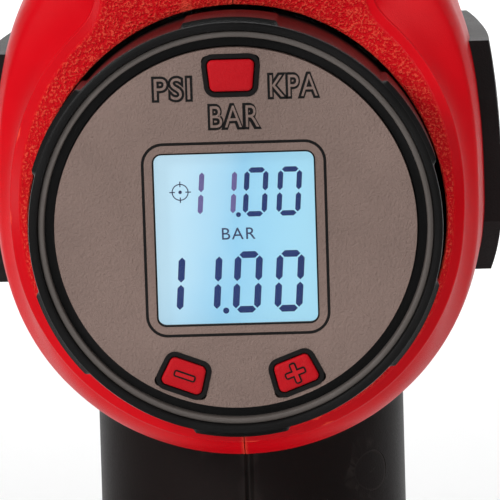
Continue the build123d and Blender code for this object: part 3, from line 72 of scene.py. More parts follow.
class Wire:
    """One shader socket, with arithmetic that adds Math nodes."""

    def __init__(self, bench: "Bench", socket: Any) -> None:
        """Hold a socket and the bench that it belongs to."""
        self.bench = bench
        self.socket = socket

    def _maths(self, operation: str, first: Any, second: Any = None) -> "Wire":
        """Add one Math node and return its value."""
        values = {0: first} if second is None else {0: first, 1: second}
        return self.bench.node("ShaderNodeMath", {"operation": operation}, values)["Value"]

    def __add__(self, other: Any) -> "Wire":
        """Sum."""
        return self._maths("ADD", self, other)

    def __radd__(self, other: Any) -> "Wire":
        """Sum, number first."""
        return self._maths("ADD", other, self)

    def __sub__(self, other: Any) -> "Wire":
        """Difference."""
        return self._maths("SUBTRACT", self, other)

    def __rsub__(self, other: Any) -> "Wire":
        """Difference, number first."""
        return self._maths("SUBTRACT", other, self)

    def __mul__(self, other: Any) -> "Wire":
        """Product."""
        return self._maths("MULTIPLY", self, other)

    def __rmul__(self, other: Any) -> "Wire":
        """Product, number first."""
        return self._maths("MULTIPLY", other, self)

    def __truediv__(self, other: Any) -> "Wire":
        """Quotient."""
        return self._maths("DIVIDE", self, other)

    def size(self) -> "Wire":
        """Value without its sign."""
        return self._maths("ABSOLUTE", self)

    def sine(self) -> "Wire":
        """Sine of an angle in radians."""
        return self._maths("SINE", self)

    def ramp(self, low: float, high: float) -> "Wire":
        """Clamp to 0 at low and 1 at high, with soft ends.

        Args:
            low: value that becomes 0.
            high: value that becomes 1.

        Returns:
            The clamped value.
        """
        settings = {"interpolation_type": "SMOOTHSTEP"}
        values = {"Value": self, "From Min": low, "From Max": high}
        return self.bench.node("ShaderNodeMapRange", settings, values)["Result"]


class Made:
    """A node just made, indexed by the names of its outputs."""

    def __init__(self, bench: "Bench", node: Any) -> None:
        """Hold a node."""
        self.bench = bench
        self.node = node

    def __getitem__(self, name: Any) -> Wire:
        """Output socket by name or number."""
        return Wire(self.bench, self.node.outputs[name])


class Bench:
    """A material under construction."""

    def __init__(self, name: str) -> None:
        """Start an empty material.

        Args:
            name: name of the material.
        """
        self.material = bpy.data.materials.new(name)
        self.material.use_nodes = True
        self.tree = self.material.node_tree
        self.tree.nodes.clear()
        self.place = self.node("ShaderNodeTexCoord", {}, {})["Object"]

    def node(self, kind: str, settings: dict[str, Any], values: dict[Any, Any]) -> Made:
        """Add a node, set its settings first, then its sockets.

        Args:
            kind: node type.
            settings: node properties; "stops" holds a ramp's positions and colours.
            values: socket values or wires, by socket name or number.

        Returns:
            The node's outputs.
        """
        node = self.tree.nodes.new(kind)
        for key, value in settings.items():
            if key == "stops":
                self._stops(node.color_ramp, value)
            else:
                setattr(node, key, value)
        for key, value in values.items():
            socket = node.inputs[key]
            if isinstance(value, Wire):
                self.tree.links.new(value.socket, socket)
            else:
                socket.default_value = self._fitted(socket, value)
        return Made(self, node)

    @staticmethod
    def _fitted(socket: Any, value: Any) -> Any:
        """Give a colour its alpha where the socket wants four values.

        Args:
            socket: the socket to be set.
            value: number, vector or colour for it.

        Returns:
            The value as the socket takes it.
        """
        if socket.type == "RGBA" and len(value) == 3:
            return (*value, 1.0)
        return value

    @staticmethod
    def _stops(ramp: Any, stops: Sequence[tuple[float, Colour]]) -> None:
        """Fill a colour ramp.

        Args:
            ramp: the ramp.
            stops: positions and colours, rising.
        """
        while len(ramp.elements) > 1:
            ramp.elements.remove(ramp.elements[-1])
        for index, (position, colour) in enumerate(stops):
            element = ramp.elements[0] if index == 0 else ramp.elements.new(position)
            element.position = position
            element.color = (*colour, 1.0)

    def axis(self, index: int) -> Wire:
        """One Object coordinate, in metres, by index 0 to 2."""
        return self.node("ShaderNodeSeparateXYZ", {}, {0: self.place})[index]

    def noise(self, per_metre: float, detail: float = 3.0, rough: float = 0.5,
              stretch: tuple[float, float, float] = (1.0, 1.0, 1.0)) -> Wire:
        """Cloudy pattern from 0 to 1.

        Args:
            per_metre: cells per metre.
            detail: octaves.
            rough: strength of the finer octaves.
            stretch: scale along each axis.

        Returns:
            The pattern.
        """
        where = self.node("ShaderNodeMapping", {}, {"Vector": self.place, "Scale": stretch})["Vector"]
        values = {"Vector": where, "Scale": per_metre, "Detail": detail, "Roughness": rough}
        return self.node("ShaderNodeTexNoise", {}, values)["Fac"]

    def cells(self, per_metre: float) -> Wire:
        """Distance from the middle of irregular cells."""
        values = {"Vector": self.place, "Scale": per_metre}
        return self.node("ShaderNodeTexVoronoi", {}, values)["Distance"]

    def attribute(self, name: str) -> Wire:
        """Number stored on the piece's points."""
        return self.node("ShaderNodeAttribute", {"attribute_name": name}, {})["Fac"]

    def blend(self, factor: Any, first: Any, second: Any) -> Wire:
        """Mix two colours."""
        settings = {"data_type": "RGBA"}
        return self.node("ShaderNodeMix", settings, {0: factor, 6: first, 7: second})[2]

    def bump(self, height: Wire, depth_mm: float) -> Wire:
        """Turn a height from 0 to 1 into a surface normal."""
        values = {"Height": height, "Distance": depth_mm * MM, "Strength": 1.0}
        return self.node("ShaderNodeBump", {}, values)["Normal"]

    def edges(self) -> Wire:
        """Convex edges of the piece, about 1 on them: paler as wear on the moulded and grip finishes, a
        painted highlight on the red housing.
        """
        return self.node("ShaderNodeNewGeometry", {}, {})["Pointiness"].ramp(0.52, 0.6)

    def finish(self, **sockets: Any) -> bpy.types.Material:
        """Close the material with a Principled shader.

        Args:
            sockets: shader socket values by name, with spaces as underscores.

        Returns:
            The material.
        """
        values = {key.replace("_", " "): value for key, value in sockets.items()}
        shader = self.node("ShaderNodeBsdfPrincipled", {}, values)["BSDF"]
        self.node("ShaderNodeOutputMaterial", {}, {"Surface": shader})
        return self.material


# ------------------------------------------------------------------ finishes


@dataclass(frozen=True)
class Moulded:
    """Moulded plastic or rubber: a fine grain, mottled colour and paler edges."""

    name: str
    colour: Colour
    grain_mm: float = 0.35
    depth_mm: float = 0.03
    rough: float = 0.45
    mottle: float = 0.12
    coat: float = 0.0
    specular: float = 0.5
    wear: float = 0.15

    def make(self) -> bpy.types.Material:
        """Build the material.

        Returns:
            The material.
        """
        bench = Bench(self.name)
        cloud = bench.noise(70.0, 4.0, 0.55)
        fine = bench.noise(1.0 / (self.grain_mm * MM), 3.0, 0.6)
        dark = tuple(c * (1 - 2 * self.mottle) for c in self.colour)
        pale = tuple(min(1.0, c * (1 + 2 * self.mottle) + 0.01) for c in self.colour)
        base = bench.blend(cloud, dark, pale)
        worn = tuple(min(1.0, c * 1.5 + 0.05) for c in self.colour)
        base = bench.blend(bench.edges() * self.wear, base, worn)
        return bench.finish(
            Base_Color=base,
            Roughness=(fine - 0.5) * 0.25 + (cloud - 0.5) * 0.1 + self.rough,
            Normal=bench.bump(fine, self.depth_mm),
            Coat_Weight=self.coat,
            Coat_Roughness=0.12,
            Specular_IOR_Level=self.specular,
        )


@dataclass(frozen=True)
class GripShell:
    """Satin grip plastic with a soft groove along the parting line, darkened there as painted shade."""

    name: str = "grip_plastic"
    colour: Colour = field(default_factory=lambda: srgb(24, 18, 17))
    # dark: painted shade colour for the groove along the parting line
    dark: Colour = field(default_factory=lambda: srgb(10, 7, 7))
    groove_mm: float = 0.75
    depth_mm: float = 0.9

    def make(self) -> bpy.types.Material:
        """Build the material, with the groove read from the distance to the parting plane; the groove is a
        bump dip and its darkening is painted shade.

        Returns:
            The material.
        """
        bench = Bench(self.name)
        groove = bench.axis(0).size().ramp(0.1 * self.groove_mm * MM, self.groove_mm * MM)
        cloud = bench.noise(55.0, 4.0, 0.6)
        fine = bench.noise(3600.0, 3.0, 0.6)
        base = bench.blend(cloud.ramp(0.25, 0.75), tuple(c * 0.78 for c in self.colour), self.colour)
        # painted shade: darker towards the parting plane, in the groove that is only a bump
        base = bench.blend(groove, self.dark, base)
        base = bench.blend(bench.edges() * 0.2, base, srgb(84, 78, 74))
        height = groove * self.depth_mm + fine * 0.03
        return bench.finish(
            Base_Color=base,
            Roughness=0.42 + (fine - 0.5) * 0.2 + (cloud - 0.5) * 0.1,
            Normal=bench.bump(height, 1.0),
            Specular_IOR_Level=0.08,
        )


@dataclass(frozen=True)
class SparkRed:
    """Red housing plastic: a coarse sparkled band round the gauge, smooth beyond it; the band's pale specks
    and the pale convex edges are painted highlights in a lit red.
    """

    name: str = "red_housing"
    colour: Colour = field(default_factory=lambda: srgb(216, 3, 20))
    deep: Colour = field(default_factory=lambda: srgb(206, 1, 17))
    # lit red: painted highlight colour for the band's specks and for the convex edges
    lit: Colour = field(default_factory=lambda: srgb(246, 84, 62))
    depth_mm: float = 0.5

    def make(self) -> bpy.types.Material:
        """Build the material, with the band read from the piece's band value.

        Returns:
            The material.
        """
        bench = Bench(self.name)
        band = bench.attribute("band")
        cloud = bench.noise(60.0, 4.0, 0.6)
        spark = bench.noise(2600.0, 2.0, 0.7)
        fine = bench.noise(7000.0, 2.0, 0.6)
        base = bench.blend(cloud.ramp(0.3, 0.7), self.deep, self.colour)
        # painted highlight: the spark texture's specks pale towards the lit red; their bump below is the real
        # texture
        base = bench.blend(spark.ramp(0.5, 0.62) * band * 0.75, base, self.lit)
        # painted highlight on convex edges, such as the seam along the lip
        base = bench.blend(bench.edges() * 0.6, base, self.lit)
        height = fine * 0.08 * (1.0 - band) + spark * band
        return bench.finish(
            Base_Color=base,
            Roughness=0.36 + band * 0.12 + (fine - 0.5) * 0.15,
            Normal=bench.bump(height, self.depth_mm),
            Specular_IOR_Level=0.1,
        )


@dataclass(frozen=True)
class Metal:
    """Machined, drawn or cast metal."""

    name: str
    colour: Colour
    rough: float = 0.3
    lay: tuple[float, float, float] = (1.0, 1.0, 1.0)
    per_metre: float = 2500.0
    depth_mm: float = 0.01

    def make(self) -> bpy.types.Material:
        """Build the material.

        Returns:
            The material.
        """
        bench = Bench(self.name)
        lines = bench.noise(self.per_metre, 3.0, 0.6, self.lay)
        cloud = bench.noise(90.0, 4.0, 0.6)
        dull = tuple(c * 0.75 for c in self.colour)
        base = bench.blend(cloud.ramp(0.3, 0.7), dull, self.colour)
        return bench.finish(
            Base_Color=base,
            Metallic=1.0,
            Roughness=self.rough + (lines - 0.5) * 0.2 + (cloud - 0.5) * 0.12,
            Normal=bench.bump(lines, self.depth_mm),
        )


@dataclass(frozen=True)
class LitPanel:
    """Lit display: pale cyan, brighter towards its left."""

    name: str = "lit_panel"
    pale: Colour = field(default_factory=lambda: srgb(192, 228, 246))
    cyan: Colour = field(default_factory=lambda: srgb(150, 208, 239))
    low: Colour = field(default_factory=lambda: srgb(166, 221, 244))
    strength: float = 0.82
    half_mm: float = 12.0
    middle_mm: float = 148.6

    def make(self) -> bpy.types.Material:
        """Build the material.

        Returns:
            The material.
        """
        bench = Bench(self.name)
        across = bench.axis(0) / (self.half_mm * MM)
        up = (bench.axis(2) - self.middle_mm * MM) / (self.half_mm * MM)
        glow = (up * 0.1 - across * 0.5 + (bench.noise(90.0, 2.0) - 0.5) * 0.3 + 0.5).ramp(0.0, 1.0)
        tint = bench.node("ShaderNodeValToRGB",
                          {"stops": [(0.0, self.low), (0.5, self.cyan), (1.0, self.pale)]},
                          {"Fac": glow})["Color"]
        return bench.finish(
            Base_Color=bench.blend(0.8, tint, (0.0, 0.0, 0.0)),
            Roughness=0.4 + bench.noise(900.0) * 0.1,
            Specular_IOR_Level=0.1,
            Emission_Color=tint,
            Emission_Strength=self.strength,
        )


@dataclass(frozen=True)
class Glassy:
    """Thin clear window: mostly see-through, with a sheen."""

    name: str = "clear_window"
    colour: Colour = (0.9, 0.97, 1.0)
    alpha: float = 0.015

    def make(self) -> bpy.types.Material:
        """Build the material.

        Returns:
            The material.
        """
        bench = Bench(self.name)
        haze = bench.noise(400.0, 3.0)
        return bench.finish(
            Base_Color=bench.blend(haze, self.colour, (0.85, 0.95, 1.0)),
            Roughness=0.06 + haze * 0.05,
            Alpha=self.alpha + haze * 0.01,
        )


@dataclass(frozen=True)
class Board:
    """Circuit board: green lacquer over copper tracks."""

    name: str = "circuit_board"

    def make(self) -> bpy.types.Material:
        """Build the material.

        Returns:
            The material.
        """
        bench = Bench(self.name)
        tracks = (bench.axis(0) * 2600.0 + bench.noise(120.0) * 6.0).sine().ramp(0.2, 0.5)
        pads = 1.0 - bench.cells(450.0).ramp(0.12, 0.2)
        base = bench.blend(tracks * 0.5, srgb(18, 70, 38), srgb(40, 118, 62))
        base = bench.blend(pads, base, srgb(200, 170, 90))
        return bench.finish(Base_Color=base, Roughness=0.35 + tracks * 0.1, Metallic=pads * 0.8,
                            Normal=bench.bump(tracks, 0.03))


class Finish(Enum):
    """Finishes named for the pieces that wear them."""

    RED = SparkRed()
    FACE = Moulded("gauge_face", srgb(126, 105, 97), 0.32, 0.3, 0.5, 0.13, 0.0, 0.3, 0.0)
    RIM = Moulded("gauge_rim", srgb(84, 77, 73), 0.3, 0.06, 0.4, 0.12, 0.0, 0.3)
    RING = Moulded("gauge_ring", srgb(5, 4, 4), 0.3, 0.05, 0.34, 0.15, 0.0, 0.08, 0.02)
    KEY = Moulded("red_key", srgb(182, 2, 18), 0.3, 0.09, 0.42, 0.08, 0.0, 0.1, 0.1)
    TRIGGER = Moulded("red_trigger", srgb(196, 4, 18), 0.4, 0.04, 0.4, 0.06, 0.0, 0.12, 0.1)
    # black for painted shade lines (display groove, window gap, letter and sign outlines) and for the real
    # key seals
    SHADE_LINE_AND_SEAL = Moulded("black_line", srgb(8, 6, 6), 0.3, 0.02, 0.6, 0.1, 0.0, 0.1, 0.0)
    GRIP = GripShell()
    FOOT = Moulded("foot_plastic", srgb(27, 21, 20), 0.4, 0.05, 0.5, 0.12, 0.0, 0.12, 0.05)
    RUBBER = Moulded("bumper_rubber", srgb(18, 13, 13), 0.35, 0.05, 0.5, 0.12, 0.0, 0.08, 0.05)
    BLACK = Moulded("black_moulding", srgb(24, 24, 26), 0.5, 0.03, 0.5, 0.1)
    SEAL = Moulded("seal_rubber", srgb(18, 18, 18), 0.4, 0.02, 0.6, 0.1)
    NYLON = Moulded("natural_nylon", srgb(226, 219, 203), 0.6, 0.02, 0.45, 0.04)
    MAGNET = Moulded("ferrite", srgb(70, 67, 65), 0.25, 0.04, 0.7, 0.12)
    SILICONE = Moulded("silicone_tube", srgb(214, 210, 201), 0.6, 0.02, 0.35, 0.04)
    CELL = Moulded("cell_wrap", srgb(40, 104, 176), 0.8, 0.01, 0.25, 0.05, 0.3)
    SCREW = Metal("screw_steel", srgb(120, 122, 126), 0.35)
    STEEL = Metal("plated_steel", srgb(172, 174, 178), 0.28, (1.0, 1.0, 0.05))
    GROUND = Metal("ground_steel", srgb(196, 199, 204), 0.2, (1.0, 1.0, 0.05))
    LAMINATE = Metal("laminations", srgb(130, 132, 135), 0.4, (0.02, 0.02, 1.0))
    ALLOY = Metal("cast_alloy", srgb(176, 178, 181), 0.45, (1.0, 1.0, 1.0), 1500.0, 0.05)
    ZINC = Metal("cast_zinc", srgb(150, 153, 156), 0.5, (1.0, 1.0, 1.0), 1200.0, 0.06)
    BRASS = Metal("turned_brass", srgb(201, 162, 74), 0.25, (1.0, 0.05, 1.0))
    COPPER = Metal("commutator_copper", srgb(188, 110, 68), 0.3)
    PANEL = LitPanel()
    WINDOW = Glassy()
    LENS = Moulded("frosted_lens", srgb(222, 230, 234), 0.5, 0.02, 0.25, 0.03, 0.3, 0.4, 0.0)
    BOARD = Board()
    DIGIT = Moulded("display_ink", srgb(18, 44, 104), 0.5, 0.0, 0.5, 0.12, 0.0, 0.1, 0.0)
    DIGIT_FAINT = Moulded("display_ink_faint", srgb(104, 94, 150), 0.5, 0.0, 0.5, 0.08, 0.0, 0.1, 0.0)
    DIGIT_DARK = Moulded("display_print", srgb(36, 42, 84), 0.5, 0.0, 0.5, 0.08, 0.0, 0.2, 0.0)


class Wardrobe:
    """Makes each finish once."""

    def __init__(self) -> None:
        """Start with no materials made."""
        self.made: dict[Finish, bpy.types.Material] = {}

    def get(self, finish: Finish) -> bpy.types.Material:
        """Material of a finish, made on first use.

        Args:
            finish: the finish.

        Returns:
            Its material.
        """
        if finish not in self.made:
            self.made[finish] = finish.value.make()
        return self.made[finish]

    def dress(self, piece: bpy.types.Object, finish: Finish) -> None:
        """Give a whole piece one finish."""
        piece.data.materials.clear()
        piece.data.materials.append(self.get(finish))


# ------------------------------------------------------------------ mesh maths


@dataclass
class Shape:
    """Points and faces gathered from grids, rings and caps."""

    points: list[Array] = field(default_factory=list)
    faces: list[list[int]] = field(default_factory=list)
    count: int = 0

    def take(self, points: Array) -> int:
        """Add points.

        Args:
            points: any array whose last axis is x, y, z.

        Returns:
            The index of the first.
        """
        first = self.count
        self.points.append(points.reshape(-1, 3))
        self.count += len(self.points[-1])
        return first

    def grid(self, points: Array, close_rows: bool = False, close_columns: bool = False) -> None:
        """Join a (rows, columns, 3) array of points with four-sided faces.

        Args:
            points: the surface sampled on its two parameters.
            close_rows: join the last row to the first.
            close_columns: join the last column to the first.
        """
        rows, columns = points.shape[:2]
        first = self.take(points)
        index = first + np.arange(rows * columns).reshape(rows, columns)
        if close_rows:
            index = np.vstack([index, index[:1]])
        if close_columns:
            index = np.hstack([index, index[:, :1]])
        quads = np.stack([index[:-1, :-1], index[1:, :-1], index[1:, 1:], index[:-1, 1:]], -1)
        self.faces.extend(quads.reshape(-1, 4).tolist())

    def cap(self, ring: Array, turned: bool = False) -> None:
        """Close a flat convex ring with one face.

        Args:
            ring: its points, (n, 3).
            turned: face the other way.
        """
        first = self.take(ring)
        run = list(range(first, first + len(ring)))
        self.faces.append(run[::-1] if turned else run)

    def build(self, name: str, smooth_degrees: float = 40.0) -> bpy.types.Object:
        """Make the mesh object, weld its seams and point its faces outwards.

        Args:
            name: name of the piece.
            smooth_degrees: creases sharper than this stay sharp.

        Returns:
            The object, at the origin, with its place in its mesh.
        """
        mesh = bpy.data.meshes.new(name)
        mesh.from_pydata((np.concatenate(self.points) * MM).tolist(), [], self.faces)
        work = bmesh.new()
        work.from_mesh(mesh)
        bmesh.ops.remove_doubles(work, verts=work.verts, dist=1e-7)
        bmesh.ops.recalc_face_normals(work, faces=work.faces)
        if work.calc_volume(signed=True) < 0:
            bmesh.ops.reverse_faces(work, faces=work.faces)
        limit = math.radians(smooth_degrees)
        for edge in work.edges:
            edge.smooth = len(edge.link_faces) == 2 and edge.calc_face_angle(0.0) < limit
        for face in work.faces:
            face.smooth = True
        work.to_mesh(mesh)
        work.free()
        piece = bpy.data.objects.new(name, mesh)
        bpy.context.scene.collection.objects.link(piece)
        return piece


def rounded(core: Array, radius: float, steps: int = 8) -> Array:
    """Outline of a convex polygon grown by a radius.

    Each corner becomes an arc of that radius about the corner, between the
    outward normals of its two sides.

    Args:
        core: corners, anticlockwise, (n, 2).
        radius: growth.
        steps: points in each arc.

    Returns:
        The outline, (n * steps, 2).
    """
    sides = np.roll(core, -1, 0) - core
    turn = np.arctan2(-sides[:, 0], sides[:, 1])
    start = np.roll(turn, 1)
    sweep = (turn - start) % (2 * np.pi)
    angles = start[:, None] + sweep[:, None] * np.linspace(0, 1, steps)[None, :]
    arcs = np.stack([np.cos(angles), np.sin(angles)], -1) * radius
    return (core[:, None, :] + arcs).reshape(-1, 2)


def rectangle(width: float, height: float, corner: float) -> Array:
    """Core corners of a rounded rectangle, anticlockwise."""
    x, y = width / 2 - corner, height / 2 - corner
    return np.array([(x, -y), (x, y), (-x, y), (-x, -y)])


def hermite(at: Array, knots: Sequence[float], values: Sequence[float]) -> Array:
    """Smooth curve through table values.

    A cubic on each span, with the slope at each knot the mean of its two
    neighbouring spans' slopes.

    Args:
        at: positions.
        knots: table positions, rising.
        values: table values.

    Returns:
        The curve at each position.
    """
    xs, ys = np.asarray(knots, float), np.asarray(values, float)
    slopes = np.gradient(ys, xs)
    spot = np.clip(np.searchsorted(xs, at) - 1, 0, len(xs) - 2)
    width = xs[spot + 1] - xs[spot]
    t = np.clip((at - xs[spot]) / width, 0, 1)
    return ((2 * t**3 - 3 * t**2 + 1) * ys[spot] + (t**3 - 2 * t**2 + t) * width * slopes[spot]
            + (3 * t**2 - 2 * t**3) * ys[spot + 1] + (t**3 - t**2) * width * slopes[spot + 1])


def step_up(value: Array, low: float, high: float) -> Array:
    """Smooth rise from 0 at low to 1 at high."""
    t = np.clip((value - low) / (high - low), 0, 1)
    return t * t * (3 - 2 * t)


def oval(across: Array, up: Array, half: Array, height: Array, power: Array) -> Array:
    """Radius of a squared oval in a direction: (|c/a|^n + |s/b|^n)^(-1/n)."""
    return (np.abs(across / half) ** power + np.abs(up / height) ** power) ** (-1 / power)


def larger(first: Array, second: Array, power: float = 20.0) -> Array:
    """Soft larger of two radii: (p^k + q^k)^(1/k), worked out as shares of the larger."""
    top = np.maximum(first, second)
    return top * ((first / top) ** power + (second / top) ** power) ** (1 / power)


# ------------------------------------------------------------------ sub-assemblies


@dataclass
class Axis:
    """Place of the gauge axis: flat positions on it turn into points in the frame."""

    x: float
    front: float
    z: float

    @classmethod
    def of_ring(cls) -> "Axis":
        """Read the axis from the gauge ring's box, in millimetres."""
        low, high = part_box("bezel_ring")
        return cls((low.x + high.x) / 2 / MM, low.y / MM, (low.z + high.z) / 2 / MM)

    def place(self, x: Array, rise: Array, depth: Array) -> Array:
        """Points at x, rise above the axis and depth behind the ring front."""
        x, rise, depth = np.broadcast_arrays(x, rise, depth)
        return np.stack([self.x + x, self.front + depth, self.z + rise], -1)

    def stack(self, rings: Sequence[tuple[Array, float]], name: str, hollow: bool = False,
              smooth: float = 40.0) -> bpy.types.Object:
        """Solid from outlines at rising depth.

        Args:
            rings: (outline, depth) pairs.
            name: piece name.
            hollow: join the last ring to the first instead of closing both ends.
            smooth: crease limit in degrees.

        Returns:
            The piece.
        """
        grid = np.stack([self.place(outline[:, 0], outline[:, 1], depth) for outline, depth in rings])
        shape = Shape()
        shape.grid(grid, close_rows=hollow, close_columns=True)
        if not hollow:
            shape.cap(grid[0])
            shape.cap(grid[-1], turned=True)
        return shape.build(name, smooth)


@dataclass
class Barrel:
    """Red housing halves: gauge collar, shoulders, raised spine and nose."""

    axis: Axis
    wardrobe: Wardrobe
    opening: float = 29.15
    rim_depth: float = 10.0
    rim_rake: float = 13.0
    crest: float = 31.6
    crest_flare: float = 2.6
    smooth_band: float = 1.5
    spine_half: float = 19.9
    spine_top: float = 46.0
    wall: float = 2.2
    collar_length: float = 30.0
    seam: float = 0.07
    nose_depth: float = 143.0
    nose_bore: float = 12.0
    angles: int = 181
    depths: tuple[float, ...] = (24.0, 40.0, 58.0, 98.0, 128.0, 143.0)
    half: tuple[float, ...] = (34.6, 35.9, 36.1, 34.6, 28.6, 20.8)
    top: tuple[float, ...] = (42.0, 44.0, 45.0, 42.0, 31.5, 21.8)
    bottom: tuple[float, ...] = (34.6, 35.2, 35.4, 33.9, 29.8, 21.8)
    spine_width: tuple[float, ...] = (20.6, 21.0, 21.4, 20.4, 15.5, 10.0)
    spine_height: tuple[float, ...] = (49.5, 53.0, 54.8, 46.8, 32.8, 21.9)
    rise: tuple[float, ...] = (0.0, 0.0, 0.0, 5.0, 15.0, 22.0)

    def body_radius(self, angle: Array, depth: Array) -> Array:
        """Radius of the body about its own centre: a squared oval joined to a raised spine.

        Args:
            angle: directions about the centre.
            depth: depths behind the ring front.

        Returns:
            The radius at each.
        """
        c, s = np.cos(angle), np.sin(angle)
        tables = (self.half, self.top, self.bottom)
        half, top, bottom = (hermite(depth, self.depths, table) for table in tables)
        base = np.where(s >= 0, oval(c, s, half, top, 2.8), oval(c, s, half, bottom, 2.0))
        width = hermite(depth, self.depths, self.spine_width)
        height = hermite(depth, self.depths, self.spine_height)
        spine = oval(c, np.maximum(s, 0.02), width, height, 4.0)
        return np.where(s > 0.02, larger(base, spine, 16.0), base)

    def crest_radius(self, angle: Array) -> Array:
        """Radius of the collar's crest: a circle that flares a little, then opens into the spine.

        Args:
            angle: directions about the gauge axis.

        Returns:
            The radius at each.
        """
        c, s = np.cos(angle), np.sin(angle)
        circle = self.crest + self.crest_flare * step_up(s, -0.1, 0.8)
        spine = oval(c, np.maximum(s, 0.02), self.spine_half, self.spine_top, 5.0)
        return np.where(s > 0.02, larger(circle, spine, 24.0), circle)

    def rim(self, angle: Array) -> Array:
        """Depth of the collar's rim, which leans back towards the top."""
        return self.rim_depth + self.rim_rake * step_up(np.sin(angle), -0.1, 1.05)

    def profile(self, angle: Array) -> tuple[Array, Array, Array]:
        """Outer skin from the gauge opening, over the crest, along the body to the nose hole.

        Args:
            angle: directions about the gauge axis, (n,).

        Returns:
            Depth, radius and rise of centre, each (n, m).
        """
        angle = angle[:, None]
        crest, rim = self.crest_radius(angle), self.rim(angle)
        above, below = step_up(np.sin(angle), 0.1, 0.7), step_up(-np.sin(angle), 0.1, 0.9)
        depth, radius, rise = [], [], []

        def add(d: Array, r: Array, lift: Array | float = 0.0) -> None:
            """Append one station of the profile.

            Args:
                d: its depth.
                r: its radius.
                lift: rise of its centre above the gauge axis.
            """
            depth.append(np.broadcast_to(d, angle.shape))
            radius.append(np.broadcast_to(r, angle.shape))
            rise.append(np.broadcast_to(lift, angle.shape))

        for back in (5.0, 2.5, 0.5, 0.15):
            add(rim + back, self.opening)
        start, stop = self.opening + 0.2, crest - self.smooth_band
        for t in np.linspace(0.0, 1.0, 12):
            add(rim + 0.45 * t, start + (stop - start) * t)
        for t in np.linspace(0.15, 1.0, 6):
            add(rim + 0.45 + 0.35 * t, stop + (self.smooth_band - 0.3) * t)
        edge = rim + 0.8
        for t in np.linspace(0.2, 1.0, 6):
            add(edge + 0.35 * (1 - np.cos(t * np.pi / 2)), crest - 0.3 + 0.3 * np.sin(t * np.pi / 2))
        full = 28.0 + 0.6 * (rim - self.rim_depth)
        body = self.body_radius(angle, full)
        speed = 1.9 + 0.4 * above + 3.0 * below
        for t in np.linspace(0.04, 1.0, 26) ** 1.3:
            grown = 1 - (1 - t) ** speed
            dip = 1.1 * (1 - below) * np.sin(np.pi * min(t / 0.45, 1.0))
            add(edge + 0.35 + (full - edge - 0.35) * t, crest + (body - crest) * grown - dip)
        for t in np.linspace(0.02, 1.0, 58):
            spread = full + (self.nose_depth - 0.8 - full) * t
            add(spread, self.body_radius(angle, spread), hermite(spread, self.depths, self.rise))
        tip = self.body_radius(angle, np.full(angle.shape, self.nose_depth))
        for inset, d in ((0.25, -0.25), (0.8, 0.0)):
            add(self.nose_depth + d, tip - inset, self.rise[-1])
        for t in np.linspace(0.2, 1.0, 5):
            add(self.nose_depth, tip - 0.8 + (self.nose_bore - tip + 0.8) * t, self.rise[-1])
        return tuple(np.concatenate(part, 1) for part in (depth, radius, rise))

    def half_shell(self, side: int) -> bpy.types.Object:
        """One closed half: outer skin, inner skin a wall inside it, and both edges.

        Args:
            side: 1 for the right half, -1 for the left.

        Returns:
            The piece.
        """
        angle = np.linspace(-np.pi / 2, np.pi / 2, self.angles)
        depth, radius, rise = self.profile(angle)
        rim = self.rim(angle)[:, None]
        inner_radius = np.maximum(radius - self.wall, self.opening)
        inner_depth = np.clip(depth, rim + 3.0, self.nose_depth - self.wall)
        inner_radius = np.where(depth > rim + self.collar_length, radius - self.wall, inner_radius)
        inner_radius = np.maximum(inner_radius, self.nose_bore)
        outer = self._points(angle, depth, radius, rise, side)
        inner = self._points(angle, inner_depth, inner_radius, rise, side)
        shape = Shape()
        shape.grid(np.concatenate([outer, inner[:, ::-1]], 1), close_columns=True)
        for end in (0, -1):
            shape.grid(np.stack([outer[end], inner[end]]))
        piece = shape.build("barrel_right" if side > 0 else "barrel_left", 50.0)
        self._store_band(piece)
        self.wardrobe.dress(piece, Finish.RED)
        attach(piece, "housing")
        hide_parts("housing_right" if side > 0 else "housing_left")
        return piece

    def _points(self, angle: Array, depth: Array, radius: Array, rise: Array, side: int) -> Array:
        """Frame points of a half from its polar tables, held off the parting plane."""
        x = np.maximum(radius * np.cos(angle)[:, None], self.seam)
        return self.axis.place(side * x, rise + radius * np.sin(angle)[:, None], depth)

    def _store_band(self, piece: bpy.types.Object) -> None:
        """Keep on each point how far the sparkled band covers it.

        The band lies between the opening and the smooth edge of the crest, on the rim.

        Args:
            piece: a housing half.
        """
        points = np.empty(len(piece.data.vertices) * 3, np.float32)
        piece.data.vertices.foreach_get("co", points)
        x, y, z = points.reshape(-1, 3).T / MM
        x, y, z = x - self.axis.x, y - self.axis.front, z - self.axis.z
        radius, angle = np.hypot(x, z), np.arctan2(z, np.abs(x))
        edge = self.crest_radius(angle) - self.smooth_band
        band = (1 - step_up(radius, edge - 0.25, edge + 0.15)) * (np.abs(y - self.rim(angle)) < 1.0)
        layer = piece.data.attributes.new("band", "FLOAT", "POINT")
        layer.data.foreach_set("value", np.clip(band, 0, 1).astype(np.float32))

    def build(self) -> list[bpy.types.Object]:
        """Build both halves."""
        return [self.half_shell(1), self.half_shell(-1)]


